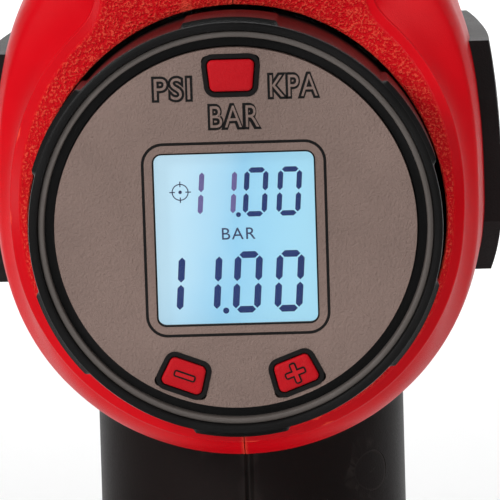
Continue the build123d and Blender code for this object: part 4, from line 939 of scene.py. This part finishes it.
@dataclass
class GaugeHead:
    """Gauge ring, rim, face details, keys and display."""

    axis: Axis
    wardrobe: Wardrobe
    ring_radius: float = 28.35
    ring_bore: float = 27.1
    ledge: float = 24.9
    ledge_depth: float = 2.2
    ring_back: float = 15.0
    cup_bore: float = 26.5
    cup_back: float = 27.0
    cup_floor: float = 2.0
    wire_hole: float = 5.2
    lug_rise: float = 0.6
    lug_half_degrees: float = 13.0
    rim_bore: float = 26.2
    rim_front: float = 0.6
    face_front: float = 0.8
    glass: tuple[float, float, float] = (22.3, 23.9, 1.3)
    glass_drop: float = 1.4
    frame: tuple[float, float, float] = (25.3, 26.8, 3.0)
    slant: float = 0.075
    ink_depth: float = 0.05

    def keep(self, piece: bpy.types.Object, finish: Finish, slot: str, body: str = "housing",
             nodes: Sequence[str] = ()) -> bpy.types.Object:
        """Dress a piece, ride it on a body and hide the CAD nodes that it stands for.

        Args:
            piece: the piece.
            finish: its finish.
            slot: material slot of the record that it belongs to; not used.
            body: body that it rides on.
            nodes: CAD nodes that it stands for.

        Returns:
            The piece.
        """
        self.wardrobe.dress(piece, finish)
        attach(piece, body)
        if nodes:
            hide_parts(*nodes)
        return piece

    def turned(self, profile: Sequence[tuple[float, float]], name: str, lugs: bool = False,
               smooth: float = 35.0) -> bpy.types.Object:
        """Ring turned about the gauge axis from a closed profile of (radius, depth).

        With lugs, points outside the ring's own radius move out by the lug rise, over
        six arcs with sloping ends.

        Args:
            profile: corners of the section, in order.
            name: piece name.
            lugs: add the six lugs.
            smooth: crease limit in degrees.

        Returns:
            The piece, not dressed yet.
        """
        count = 720 if lugs else 240
        angle = np.linspace(0, 2 * np.pi, count, endpoint=False)[:, None]
        radius, depth = np.array(profile).T
        radius, depth = np.broadcast_arrays(radius[None, :], depth[None, :] + 0 * angle)
        if lugs:
            away = np.abs((np.degrees(angle) % 60.0) - 30.0)
            lug = 1 - step_up(away, self.lug_half_degrees - 0.5, self.lug_half_degrees + 1.0)
            radius = radius + self.lug_rise * lug * ((radius > self.ring_radius - 0.05) & (depth > 1.0))
        points = self.axis.place(radius * np.cos(angle), radius * np.sin(angle), depth)
        shape = Shape()
        shape.grid(points, close_rows=True, close_columns=True)
        return shape.build(name, smooth)

    def ring(self) -> bpy.types.Object:
        """Black gauge ring with six lugs.

        Returns:
            The piece.
        """
        outer, bore, back, ledge, floor = (
            self.ring_radius, self.ring_bore, self.ring_back, self.ledge, self.ledge_depth)
        under = 4.0
        profile = [(bore, 0.35), (bore + 0.12, 0.1), (bore + 0.35, 0.0),
                   (outer - 0.35, 0.0), (outer - 0.1, 0.12), (outer, 0.4),
                   (outer, 1.1), (outer, 1.5), (outer, under), (outer, back),
                   (self.cup_bore, back), (self.cup_bore, under), (ledge, under),
                   (ledge, floor + 0.1), (ledge + 0.1, floor), (bore, floor)]
        piece = self.turned(profile, "gauge_ring", True)
        return self.keep(piece, Finish.RING, "ring_plastic", nodes=["bezel_ring"])

    def cup(self) -> bpy.types.Object:
        """Black cup behind the ring, with a wire hole in its floor.

        Returns:
            The piece.
        """
        outer, bore, back, end, hole = (
            self.ring_radius, self.cup_bore, self.ring_back, self.cup_back, self.wire_hole)
        profile = [(outer, back), (outer, end - 0.6), (outer - 0.6, end), (hole, end),
                   (hole, end - self.cup_floor), (bore, end - self.cup_floor), (bore, back)]
        piece = self.turned(profile, "gauge_housing_cup")
        return self.keep(piece, Finish.RING, "inner_black", nodes=["gauge_cup"])

    def rim(self) -> bpy.types.Object:
        """Grey rim between the ring and the groove.

        Returns:
            The piece.
        """
        low, high, front = self.rim_bore, self.ring_bore - 0.02, self.rim_front
        profile = [(low, front + 0.25), (low + 0.1, front + 0.05), (low + 0.25, front),
                   (high - 0.3, front), (high - 0.1, front + 0.08), (high, front + 0.3),
                   (high, self.ledge_depth), (low, self.ledge_depth)]
        piece = self.turned(profile, "gauge_rim")
        return self.keep(piece, Finish.RIM, "face_plastic", nodes=["bezel_trim"])

    def flat_ring(self, core: Array, inner: float, outer: float, front: float, back: float,
                  name: str) -> bpy.types.Object:
        """Raised line round a convex outline, between two growths, with soft edges.

        Args:
            core: corners of the outline.
            inner, outer: how far the line's two sides lie outside the corners.
            front, back: its depths.
            name: piece name.

        Returns:
            The piece, not dressed yet.
        """
        bevel = min(0.08, (outer - inner) / 3)
        rings = [(rounded(core, inner), back), (rounded(core, inner), front + bevel),
                 (rounded(core, inner + bevel), front), (rounded(core, outer - bevel), front),
                 (rounded(core, outer), front + bevel), (rounded(core, outer), back)]
        return self.axis.stack(rings, name, hollow=True)

    def frame_lines(self) -> None:
        """Black line in the groove round the display, and black edge of its window: painted shade of the deep
        groove and of the gap beside the window.
        """
        drop = np.array([0.0, -self.glass_drop])
        width, height, corner = self.frame
        core = rectangle(width, height, corner) + drop
        front, back = self.face_front - 0.02, self.face_front + 0.38
        # painted shade: black line standing for the shadow deep in the groove
        line = self.flat_ring(core, corner - 0.42, corner + 0.02, front, back, "frame_line")
        self.keep(line, Finish.SHADE_LINE_AND_SEAL, "ring_plastic")
        width, height, corner = self.glass
        core = rectangle(width, height, corner) + drop
        # painted shade: black edge standing for the shadow gap between frame and window
        edge = self.flat_ring(core, corner - 0.22, corner + 0.04, self.face_front - 0.04, 1.24, "window_edge")
        self.keep(edge, Finish.SHADE_LINE_AND_SEAL, "ring_plastic")

    def letters(self, words: str, x: float, rise: float, width: float, height: float) -> None:
        """Raised outline letters on the face: a black layer under a face-coloured one, the black rim round
        each letter being painted shade of its raised sides.

        Args:
            words: the letters.
            x, rise: their centre.
            width, height: their size.
        """
        # the line layer is painted shade round the raised letters' steep sides
        layers = (("line", 0.32, 0.03, Finish.SHADE_LINE_AND_SEAL), ("fill", -0.02, 0.09, Finish.FACE))
        for layer, grow, front, finish in layers:
            piece = self.lettering(words, f"letters_{words.lower()}_{layer}", (x, rise), (width, height),
                                   (self.face_front - front, self.face_front + 0.1), grow)
            self.keep(piece, finish, "face_plastic" if layer == "fill" else "ring_plastic")

    def lettering(self, words: str, name: str, place: tuple[float, float], size: tuple[float, float],
                  depths: tuple[float, float], grow: float = 0.0) -> bpy.types.Object:
        """Flat solid letters fitted to a size.

        Args:
            words: the letters.
            name: piece name.
            place: their centre.
            size: width and height before growing.
            depths: front and back depth.
            grow: how far the outline is pushed out.

        Returns:
            The piece, not dressed yet.
        """
        curve = bpy.data.curves.new(name, "FONT")
        curve.body = words
        curve.size = 10.0
        curve.space_character = 1.14
        curve.resolution_u = 6
        curve.offset = grow * 7.0 / size[1]
        curve.extrude = 0.5
        text = bpy.data.objects.new(name, curve)
        bpy.context.scene.collection.objects.link(text)
        bpy.context.view_layer.update()
        mesh = bpy.data.meshes.new_from_object(text.evaluated_get(bpy.context.evaluated_depsgraph_get()))
        bpy.data.objects.remove(text)
        points = np.empty(len(mesh.vertices) * 3, np.float32)
        mesh.vertices.foreach_get("co", points)
        points = points.reshape(-1, 3)
        low, high = points.min(0), points.max(0)
        rel = (points - (low + high) / 2) / (high - low)
        depth = np.where(rel[:, 2] > 0, depths[0], depths[1])
        across, up = place[0] + rel[:, 0] * (size[0] + 2 * grow), place[1] + rel[:, 1] * (size[1] + 2 * grow)
        placed = self.axis.place(across, up, depth) * MM
        mesh.vertices.foreach_set("co", placed.astype(np.float32).ravel())
        mesh.update()
        piece = bpy.data.objects.new(name, mesh)
        bpy.context.scene.collection.objects.link(piece)
        self.fix_normals(piece)
        return piece

    @staticmethod
    def fix_normals(piece: bpy.types.Object) -> None:
        """Weld a text mesh and point its faces outwards.

        Args:
            piece: the lettering.
        """
        work = bmesh.new()
        work.from_mesh(piece.data)
        bmesh.ops.remove_doubles(work, verts=work.verts, dist=1e-7)
        bmesh.ops.recalc_face_normals(work, faces=work.faces)
        work.to_mesh(piece.data)
        work.free()

    def key(self, node: str, outer: float, inner: float, height: float, radius: float, degrees: float,
            body: str) -> None:
        """Key cap with a crowned top, and the black seal round it.

        Args:
            node: CAD node that it stands for.
            outer, inner, height: its trapezium, wide edge away from the axis.
            radius, degrees: its place about the axis.
            body: body that it rides on.
        """
        corner, bevel, fall = 0.75, 0.5, 0.35
        brow, crown = 0.3, 0.12
        seal_gap, seal_edge, seal_proud, seal_back = 0.12, 0.8, 0.16, 2.0
        lean = (outer - inner) / 2 / height
        trim = corner * (math.hypot(1, lean) + lean), corner * (math.hypot(1, lean) - lean)
        half = height / 2 - corner
        near, far = inner / 2 - trim[1] + lean * corner, outer / 2 - trim[0] - lean * corner
        core = np.array([(near, -half), (far, half), (-far, half), (-near, -half)])
        core = self.around(core, degrees, radius)
        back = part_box(node)[1].y / MM - self.axis.front
        rings = [(rounded(core, corner), back)]
        for t in np.linspace(0, 1, 6):
            rings.append((rounded(core, corner - bevel * (1 - math.cos(t * math.pi / 2))),
                          brow + fall * (1 - math.sin(t * math.pi / 2))))
        middle = core.mean(0)
        for share in (0.75, 0.4, 0.05):
            shrunk = middle + (rounded(core, corner - bevel) - middle) * share
            rings.append((shrunk, brow - crown * (1 - share**2)))
        cap = self.axis.stack(rings, node.replace("button", "key_cap"), smooth=60.0)
        self.keep(cap, Finish.KEY, "button_red", body, [node])
        seal = self.flat_ring(core, corner + seal_gap, corner + seal_edge, self.face_front - seal_proud,
                              seal_back, node.replace("button", "key_seal"))
        self.keep(seal, Finish.SHADE_LINE_AND_SEAL, "ring_plastic")

    @staticmethod
    def around(outline: Array, degrees: float, radius: float) -> Array:
        """Outline moved to a place about the axis, its upper side away from the axis.

        Args:
            outline: points about its own middle, (n, 2).
            degrees, radius: the place.

        Returns:
            The points moved.
        """
        turn, angle = math.radians(degrees - 90), math.radians(degrees)
        spin = np.array([[math.cos(turn), math.sin(turn)], [-math.sin(turn), math.cos(turn)]])
        return outline @ spin + np.array([math.cos(angle), math.sin(angle)]) * radius

    def sign(self, name: str, degrees: float, radius: float, arms: Sequence[tuple[float, float]],
             body: str) -> None:
        """Raised outline sign on a key, from bars of (width, height); the black layer under the red one is
        painted shade round its raised edges.

        Args:
            name: piece name.
            degrees, radius: place of the key.
            arms: bars that make the sign.
            body: body that it rides on.
        """
        corner, back, lift = 0.1, 0.5, 0.004
        # the line layer is painted shade round the raised sign's edges
        layers = (("line", 0.22, 0.16, Finish.SHADE_LINE_AND_SEAL), ("fill", -0.02, 0.08, Finish.KEY))
        for layer, grow, front, finish in layers:
            shape = Shape()
            for index, (width, height) in enumerate(arms):
                core = self.around(rectangle(width, height, corner), degrees, radius)
                bar = rounded(core, corner + grow, 3)
                depths = (back, front - lift * index)
                grid = np.stack([self.axis.place(bar[:, 0], bar[:, 1], depth) for depth in depths])
                shape.grid(grid, close_columns=True)
                shape.cap(grid[0])
                shape.cap(grid[-1], turned=True)
            self.keep(shape.build(f"{name}_{layer}"), finish, "button_red", body)

    def segment_digit(self, shape: Shape, x: float, *, base: float, width: float, height: float,
                      stroke: float, lit: str, depth: float) -> None:
        """Seven-bar figure: bars with pointed ends, leaning to the right.

        Args:
            shape: where the bars go.
            x, base: lower left corner.
            width, height, stroke: size of the figure and of a bar.
            lit: which bars show, from abcdefg.
            depth: depth of the ink.
        """
        gap, mid, tip = 0.16, height / 2, stroke / 2
        far, top = width - stroke, height - stroke
        spans = {"a": (0, top, far, top), "d": (0, 0, far, 0), "g": (0, mid - tip, far, mid - tip),
                 "f": (0, mid - tip, 0, top), "b": (far, mid - tip, far, top),
                 "e": (0, 0, 0, mid - tip), "c": (far, 0, far, mid - tip)}
        for name in lit:
            x0, y0, x1, y1 = spans[name]
            along = np.array([x1 - x0, y1 - y0])
            along = along / np.linalg.norm(along)
            side = np.array([-along[1], along[0]]) * tip
            start = np.array([x0 + tip, y0 + tip]) + along * gap
            stop = np.array([x1 + tip, y1 + tip]) - along * gap
            bar = np.array([start, start + along * tip - side, stop - along * tip - side, stop,
                            stop - along * tip + side, start + along * tip + side])
            self.ink(shape, bar + (x, base), depth, base)

    def ink(self, shape: Shape, outline: Array, depth: float, base: float | None = None) -> None:
        """Thin flat patch of display ink, leaned about its base line if it has one.

        Args:
            shape: where the patch goes.
            outline: its corners, (n, 2).
            depth: depth of its front.
            base: rise of the base line.
        """
        leaned = outline.copy()
        if base is not None:
            leaned[:, 0] += (outline[:, 1] - base) * self.slant
        depths = (depth, depth + self.ink_depth)
        grid = np.stack([self.axis.place(leaned[:, 0], leaned[:, 1], d) for d in depths])
        shape.grid(grid, close_columns=True)
        shape.cap(grid[0])
        shape.cap(grid[-1], turned=True)

    def display(self) -> None:
        """Two rows of figures, unit word and target mark, just in front of the lit panel."""
        depth = 2.94
        dark, faint, fine = Shape(), Shape(), Shape()
        zero, one = "abcdef", "bc"
        upper = {"base": 1.35, "height": 6.75, "depth": depth}
        lower = {"base": -11.95, "height": 8.5, "stroke": 0.92, "depth": depth}
        for left in (-7.65, -3.15):
            self.segment_digit(faint, left, width=3.1, stroke=0.7, lit=one, **upper)
        for left in (0.95, 5.55):
            self.segment_digit(dark, left, width=3.3, stroke=0.72, lit=zero, **upper)
        for left in (-11.35, -6.25):
            self.segment_digit(dark, left, width=3.7, lit=one, **lower)
        for left in (-0.85, 4.9):
            self.segment_digit(dark, left, width=3.85, lit=zero, **lower)
        circle = np.linspace(0, 2 * np.pi, 24, endpoint=False)
        disc = np.stack([np.cos(circle), np.sin(circle)], -1)
        self.ink(dark, disc * 0.34 + (0.4, 1.65), depth)
        self.ink(dark, disc * 0.42 + (-1.7, -11.6), depth)
        self.target(fine, disc, depth)
        self.keep(dark.build("display_figures"), Finish.DIGIT, "display_blue")
        self.keep(faint.build("display_faint_figures"), Finish.DIGIT_FAINT, "display_blue")
        self.keep(fine.build("display_target"), Finish.DIGIT_DARK, "display_blue")
        depths = (depth, depth + self.ink_depth)
        word = self.lettering("BAR", "display_word", (0.35, -0.95), (4.6, 1.6), depths)
        self.keep(word, Finish.DIGIT_DARK, "display_blue")

    def target(self, shape: Shape, disc: Array, depth: float) -> None:
        """Target mark: circle, dot and four ticks.

        Args:
            shape: where the mark goes.
            disc: points of a circle of radius 1.
            depth: depth of its front.
        """
        centre, inner, outer, dot = np.array([-7.5, 4.95]), 1.02, 1.16, 0.24
        tick_start, tick_stop, tick_half = 0.72, 1.48, 0.07
        turn, back = np.linspace(0, 2 * np.pi, 49), depth + self.ink_depth
        rings = ((inner, back), (inner, depth), (outer, depth), (outer, back))
        shape.grid(np.stack([self.axis.place(centre[0] + r * np.cos(turn), centre[1] + r * np.sin(turn), d)
                             for r, d in rings]), close_rows=True)
        self.ink(shape, disc * dot + centre, depth)
        for degrees in (0, 90, 180, 270):
            turn = math.radians(degrees)
            along = np.array([math.cos(turn), math.sin(turn)])
            side = np.array([-along[1], along[0]]) * tick_half
            bar = np.array([centre + along * tick_start - side, centre + along * tick_stop - side,
                            centre + along * tick_stop + side, centre + along * tick_start + side])
            self.ink(shape, bar, depth)

    def build(self) -> None:
        """Build the whole gauge head."""
        self.ring()
        self.cup()
        self.rim()
        self.frame_lines()
        self.letters("PSI", -8.05, 19.35, 4.95, 3.0)
        self.letters("KPA", 8.5, 19.4, 6.5, 3.0)
        self.letters("BAR", 0.35, 15.4, 6.7, 3.0)
        self.key("unit_button", 7.1, 5.2, 4.3, 21.0, 90.0, "unit_key")
        self.key("minus_button", 6.75, 4.3, 3.95, 21.5, -110.7, "minus_key")
        self.key("plus_button", 6.75, 4.3, 3.95, 21.5, -69.3, "plus_key")
        self.sign("minus_sign", -110.7, 21.5, [(2.7, 0.55)], "minus_key")
        self.sign("plus_sign", -69.3, 21.5, [(2.6, 0.55), (0.55, 2.6)], "plus_key")
        self.display()


@dataclass
class GripPlugs:
    """Plastic plugs flush with the grip over its two screw holes."""

    wardrobe: Wardrobe
    head_radius: float = 2.8
    hole_radius: float = 3.0
    sunk: float = 0.04

    def centres(self) -> list[tuple[float, float]]:
        """Middles of the lower and the upper screw.

        Returns:
            (y, z) of each, in millimetres.
        """
        low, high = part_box("handle_screws")
        inset = self.head_radius
        return [(low.y / MM + inset, low.z / MM + inset), (high.y / MM - inset, high.z / MM - inset)]

    def plug(self, name: str, y: float, z: float) -> None:
        """One plug, whose face is fitted to the grip's skin round the hole.

        The skin is taken as x = a + b*u + c*v + d*u^2, with u and v measured
        from the middle of the hole along y and z.

        Args:
            name: piece name.
            y, z: middle of the hole, in millimetres.
        """
        mesh = frame["nodes"]["handle_right"].data
        points = np.empty(len(mesh.vertices) * 3, np.float32)
        mesh.vertices.foreach_get("co", points)
        skin = points.reshape(-1, 3).astype(float) / MM
        u, v = skin[:, 1] - y, skin[:, 2] - z
        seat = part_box("handle_screws")[1].x / MM
        near = (np.abs(np.hypot(u, v) - self.hole_radius) < 0.05) & (skin[:, 0] > seat + 0.5)
        terms = np.stack([np.ones(near.sum()), u[near], v[near], u[near] ** 2], -1)
        fit = np.linalg.lstsq(terms, skin[near, 0], rcond=None)[0]
        angle = np.linspace(0, 2 * np.pi, 48, endpoint=False)[None, :]
        radius = np.append(np.linspace(0.02, self.hole_radius - 0.01, 9), self.hole_radius - 0.01)[:, None]
        across, up = radius * np.cos(angle), radius * np.sin(angle)
        face = fit[0] + fit[1] * across + fit[2] * up + fit[3] * across**2 - self.sunk
        face[-1] = seat + 0.1
        grid = np.stack([face, y + across, z + up], -1)
        shape = Shape()
        shape.grid(grid, close_columns=True)
        shape.cap(grid[0])
        shape.cap(grid[-1], turned=True)
        piece = shape.build(name)
        self.wardrobe.dress(piece, Finish.GRIP)
        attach(piece, "housing")

    def build(self) -> None:
        """Build both plugs."""
        for name, (y, z) in zip(("grip_plug_lower", "grip_plug_upper"), self.centres()):
            self.plug(name, y, z)


@dataclass
class Frame:
    """Pieces that keep their own meshes and only need a finish."""

    wardrobe: Wardrobe
    plan: dict[Finish, tuple[str, ...]] = field(default_factory=lambda: {
        Finish.RUBBER: ("bumper_left", "bumper_right"),
        Finish.GRIP: ("handle_left", "handle_right"),
        Finish.FOOT: ("battery_foot",),
        Finish.FACE: ("face_plate",),
        Finish.WINDOW: ("lcd_window",),
        Finish.LENS: ("lamp_lens",),
        Finish.PANEL: ("lcd_panel", "backlight"),
        Finish.BOARD: ("display_board", "lamp_board", "battery_board"),
        Finish.BLACK: ("motor_end_cap", "tact_switches", "pressure_sensor", "trigger_switch",
                       "terminal_block", "battery_case", "latch_left", "latch_right", "nose_collar"),
        Finish.SCREW: ("housing_screws", "handle_screws", "board_screws", "motor_screws", "head_screws"),
        Finish.ZINC: ("pump_frame",),
        Finish.STEEL: ("motor_can",),
        Finish.MAGNET: ("motor_magnets",),
        Finish.LAMINATE: ("armature",),
        Finish.COPPER: ("commutator",),
        Finish.GROUND: ("motor_shaft", "crank_shaft", "crank_pin", "wrist_pin"),
        Finish.BRASS: ("pinion", "crank_bushing", "outlet_fitting", "terminal_blades", "battery_contacts"),
        Finish.NYLON: ("crank_gear",),
        Finish.ALLOY: ("connecting_rod", "piston", "cylinder", "cylinder_head"),
        Finish.SEAL: ("piston_seal", "head_gasket", "outlet_tube"),
        Finish.SILICONE: ("sensor_tube",),
        Finish.CELL: ("battery_cells",),
        Finish.TRIGGER: ("trigger",),
    })

    def build(self) -> None:
        """Give each kept piece its finish."""
        for finish, nodes in self.plan.items():
            for node in nodes:
                self.wardrobe.dress(frame["nodes"][node], finish)


@dataclass
class Studio:
    """Pale floor, soft lights and the camera behind the gauge."""

    axis: Axis
    distance: float = 0.50
    azimuth: float = 1.6
    elevation: float = 7.3
    roll: float = -1.8
    view_width: float = 0.06817
    off_centre: tuple[float, float] = (0.0292, -0.0412)
    film: float = 36.0

    def floor(self) -> None:
        """Pale floor that curves up a long way behind."""
        span = np.linspace(-3.0, 3.0, 2)
        bend, bend_start, top = 1.2, 1.6, 3.5
        turn = np.linspace(0.05, 1, 16) * np.pi / 2
        back = np.concatenate([np.linspace(-2.5, bend_start, 8), bend_start + bend * np.sin(turn)])
        rise = np.concatenate([np.zeros(8), bend * (1 - np.cos(turn))])
        back, rise = np.append(back, bend_start + bend), np.append(rise, top)
        grid = np.stack([np.stack([np.full_like(back, x), back, rise], -1) for x in span]) / MM
        shape = Shape()
        shape.grid(grid)
        floor = shape.build("studio_floor")
        bench = Bench("studio_paper")
        tone = bench.noise(3.0, 2.0)
        floor.data.materials.append(bench.finish(
            Base_Color=bench.blend(tone, (0.9, 0.9, 0.9), (0.94, 0.94, 0.94)), Roughness=0.9))

    def light(self, name: str, place: tuple[float, float, float], power: float, size: float,
              target: tuple[float, float, float] | None = None) -> None:
        """Square soft light aimed at the gauge, or at a target of its own.

        Args:
            name: name of the light.
            place: its position in metres.
            power: watts.
            size: side of the square in metres.
            target: point that it faces, in metres.
        """
        lamp = bpy.data.lights.new(name, "AREA")
        lamp.energy = power
        lamp.size = size
        piece = bpy.data.objects.new(name, lamp)
        bpy.context.scene.collection.objects.link(piece)
        piece.location = place
        self.aim(piece, target=target)

    def aim(self, piece: bpy.types.Object, roll: float = 0.0,
            target: tuple[float, float, float] | None = None) -> None:
        """Point a light or camera at the gauge, or at a target.

        Args:
            piece: the light or camera.
            roll: turn about its line of sight, in degrees.
            target: point that it faces, in metres.
        """
        gauge = Vector((self.axis.x, self.axis.front, self.axis.z)) * MM
        sight = (Vector(target) if target else gauge) - piece.location
        turn = sight.to_track_quat("-Z", "Y").to_matrix().to_4x4()
        turn = turn @ Matrix.Rotation(math.radians(roll), 4, "Z")
        piece.rotation_euler = turn.to_euler()

    def camera(self) -> None:
        """Camera behind the gauge, with the view moved off its centre by shares of its width."""
        lens = bpy.data.cameras.new("camera")
        lens.sensor_width = self.film
        lens.lens = self.distance * self.film / self.view_width
        lens.shift_x, lens.shift_y = self.off_centre
        lens.clip_start = 0.01
        camera = bpy.data.objects.new("camera", lens)
        bpy.context.scene.collection.objects.link(camera)
        side, up = math.radians(self.azimuth), math.radians(self.elevation)
        camera.location = (
            self.axis.x * MM + self.distance * math.sin(side) * math.cos(up),
            self.axis.front * MM - self.distance * math.cos(side) * math.cos(up),
            self.axis.z * MM + self.distance * math.sin(up))
        self.aim(camera, self.roll)
        bpy.context.scene.camera = camera

    def build(self) -> None:
        """Build the studio."""
        self.camera()
        self.floor()
        world = bpy.data.worlds.new("studio")
        world.use_nodes = True
        world.node_tree.nodes["Background"].inputs[0].default_value = (1.0, 1.0, 1.0, 1.0)
        world.node_tree.nodes["Background"].inputs[1].default_value = 0.22
        bpy.context.scene.world = world
        bpy.context.scene.view_settings.view_transform = "Standard"
        self.light("key", (-0.6, -0.7, 0.6), 5.6, 0.25)
        self.light("top_right", (0.35, -0.25, 0.75), 1.6, 0.25)
        self.light("front", (-0.1, -1.0, 0.3), 1.1, 0.5)
        self.light("backdrop", (0.0, 1.5, 1.7), 45.0, 1.6, (0.0, 2.6, 0.0))


def main() -> None:
    """Build every sub-assembly in order."""
    logging.basicConfig(level=logging.INFO)
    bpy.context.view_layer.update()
    axis, wardrobe = Axis.of_ring(), Wardrobe()
    barrel, head = Barrel(axis, wardrobe), GaugeHead(axis, wardrobe)
    for part in (Studio(axis), Frame(wardrobe), barrel, head, GripPlugs(wardrobe)):
        part.build()
        LOG.info("%s built", type(part).__name__)


if __name__ == "__main__":
    main()
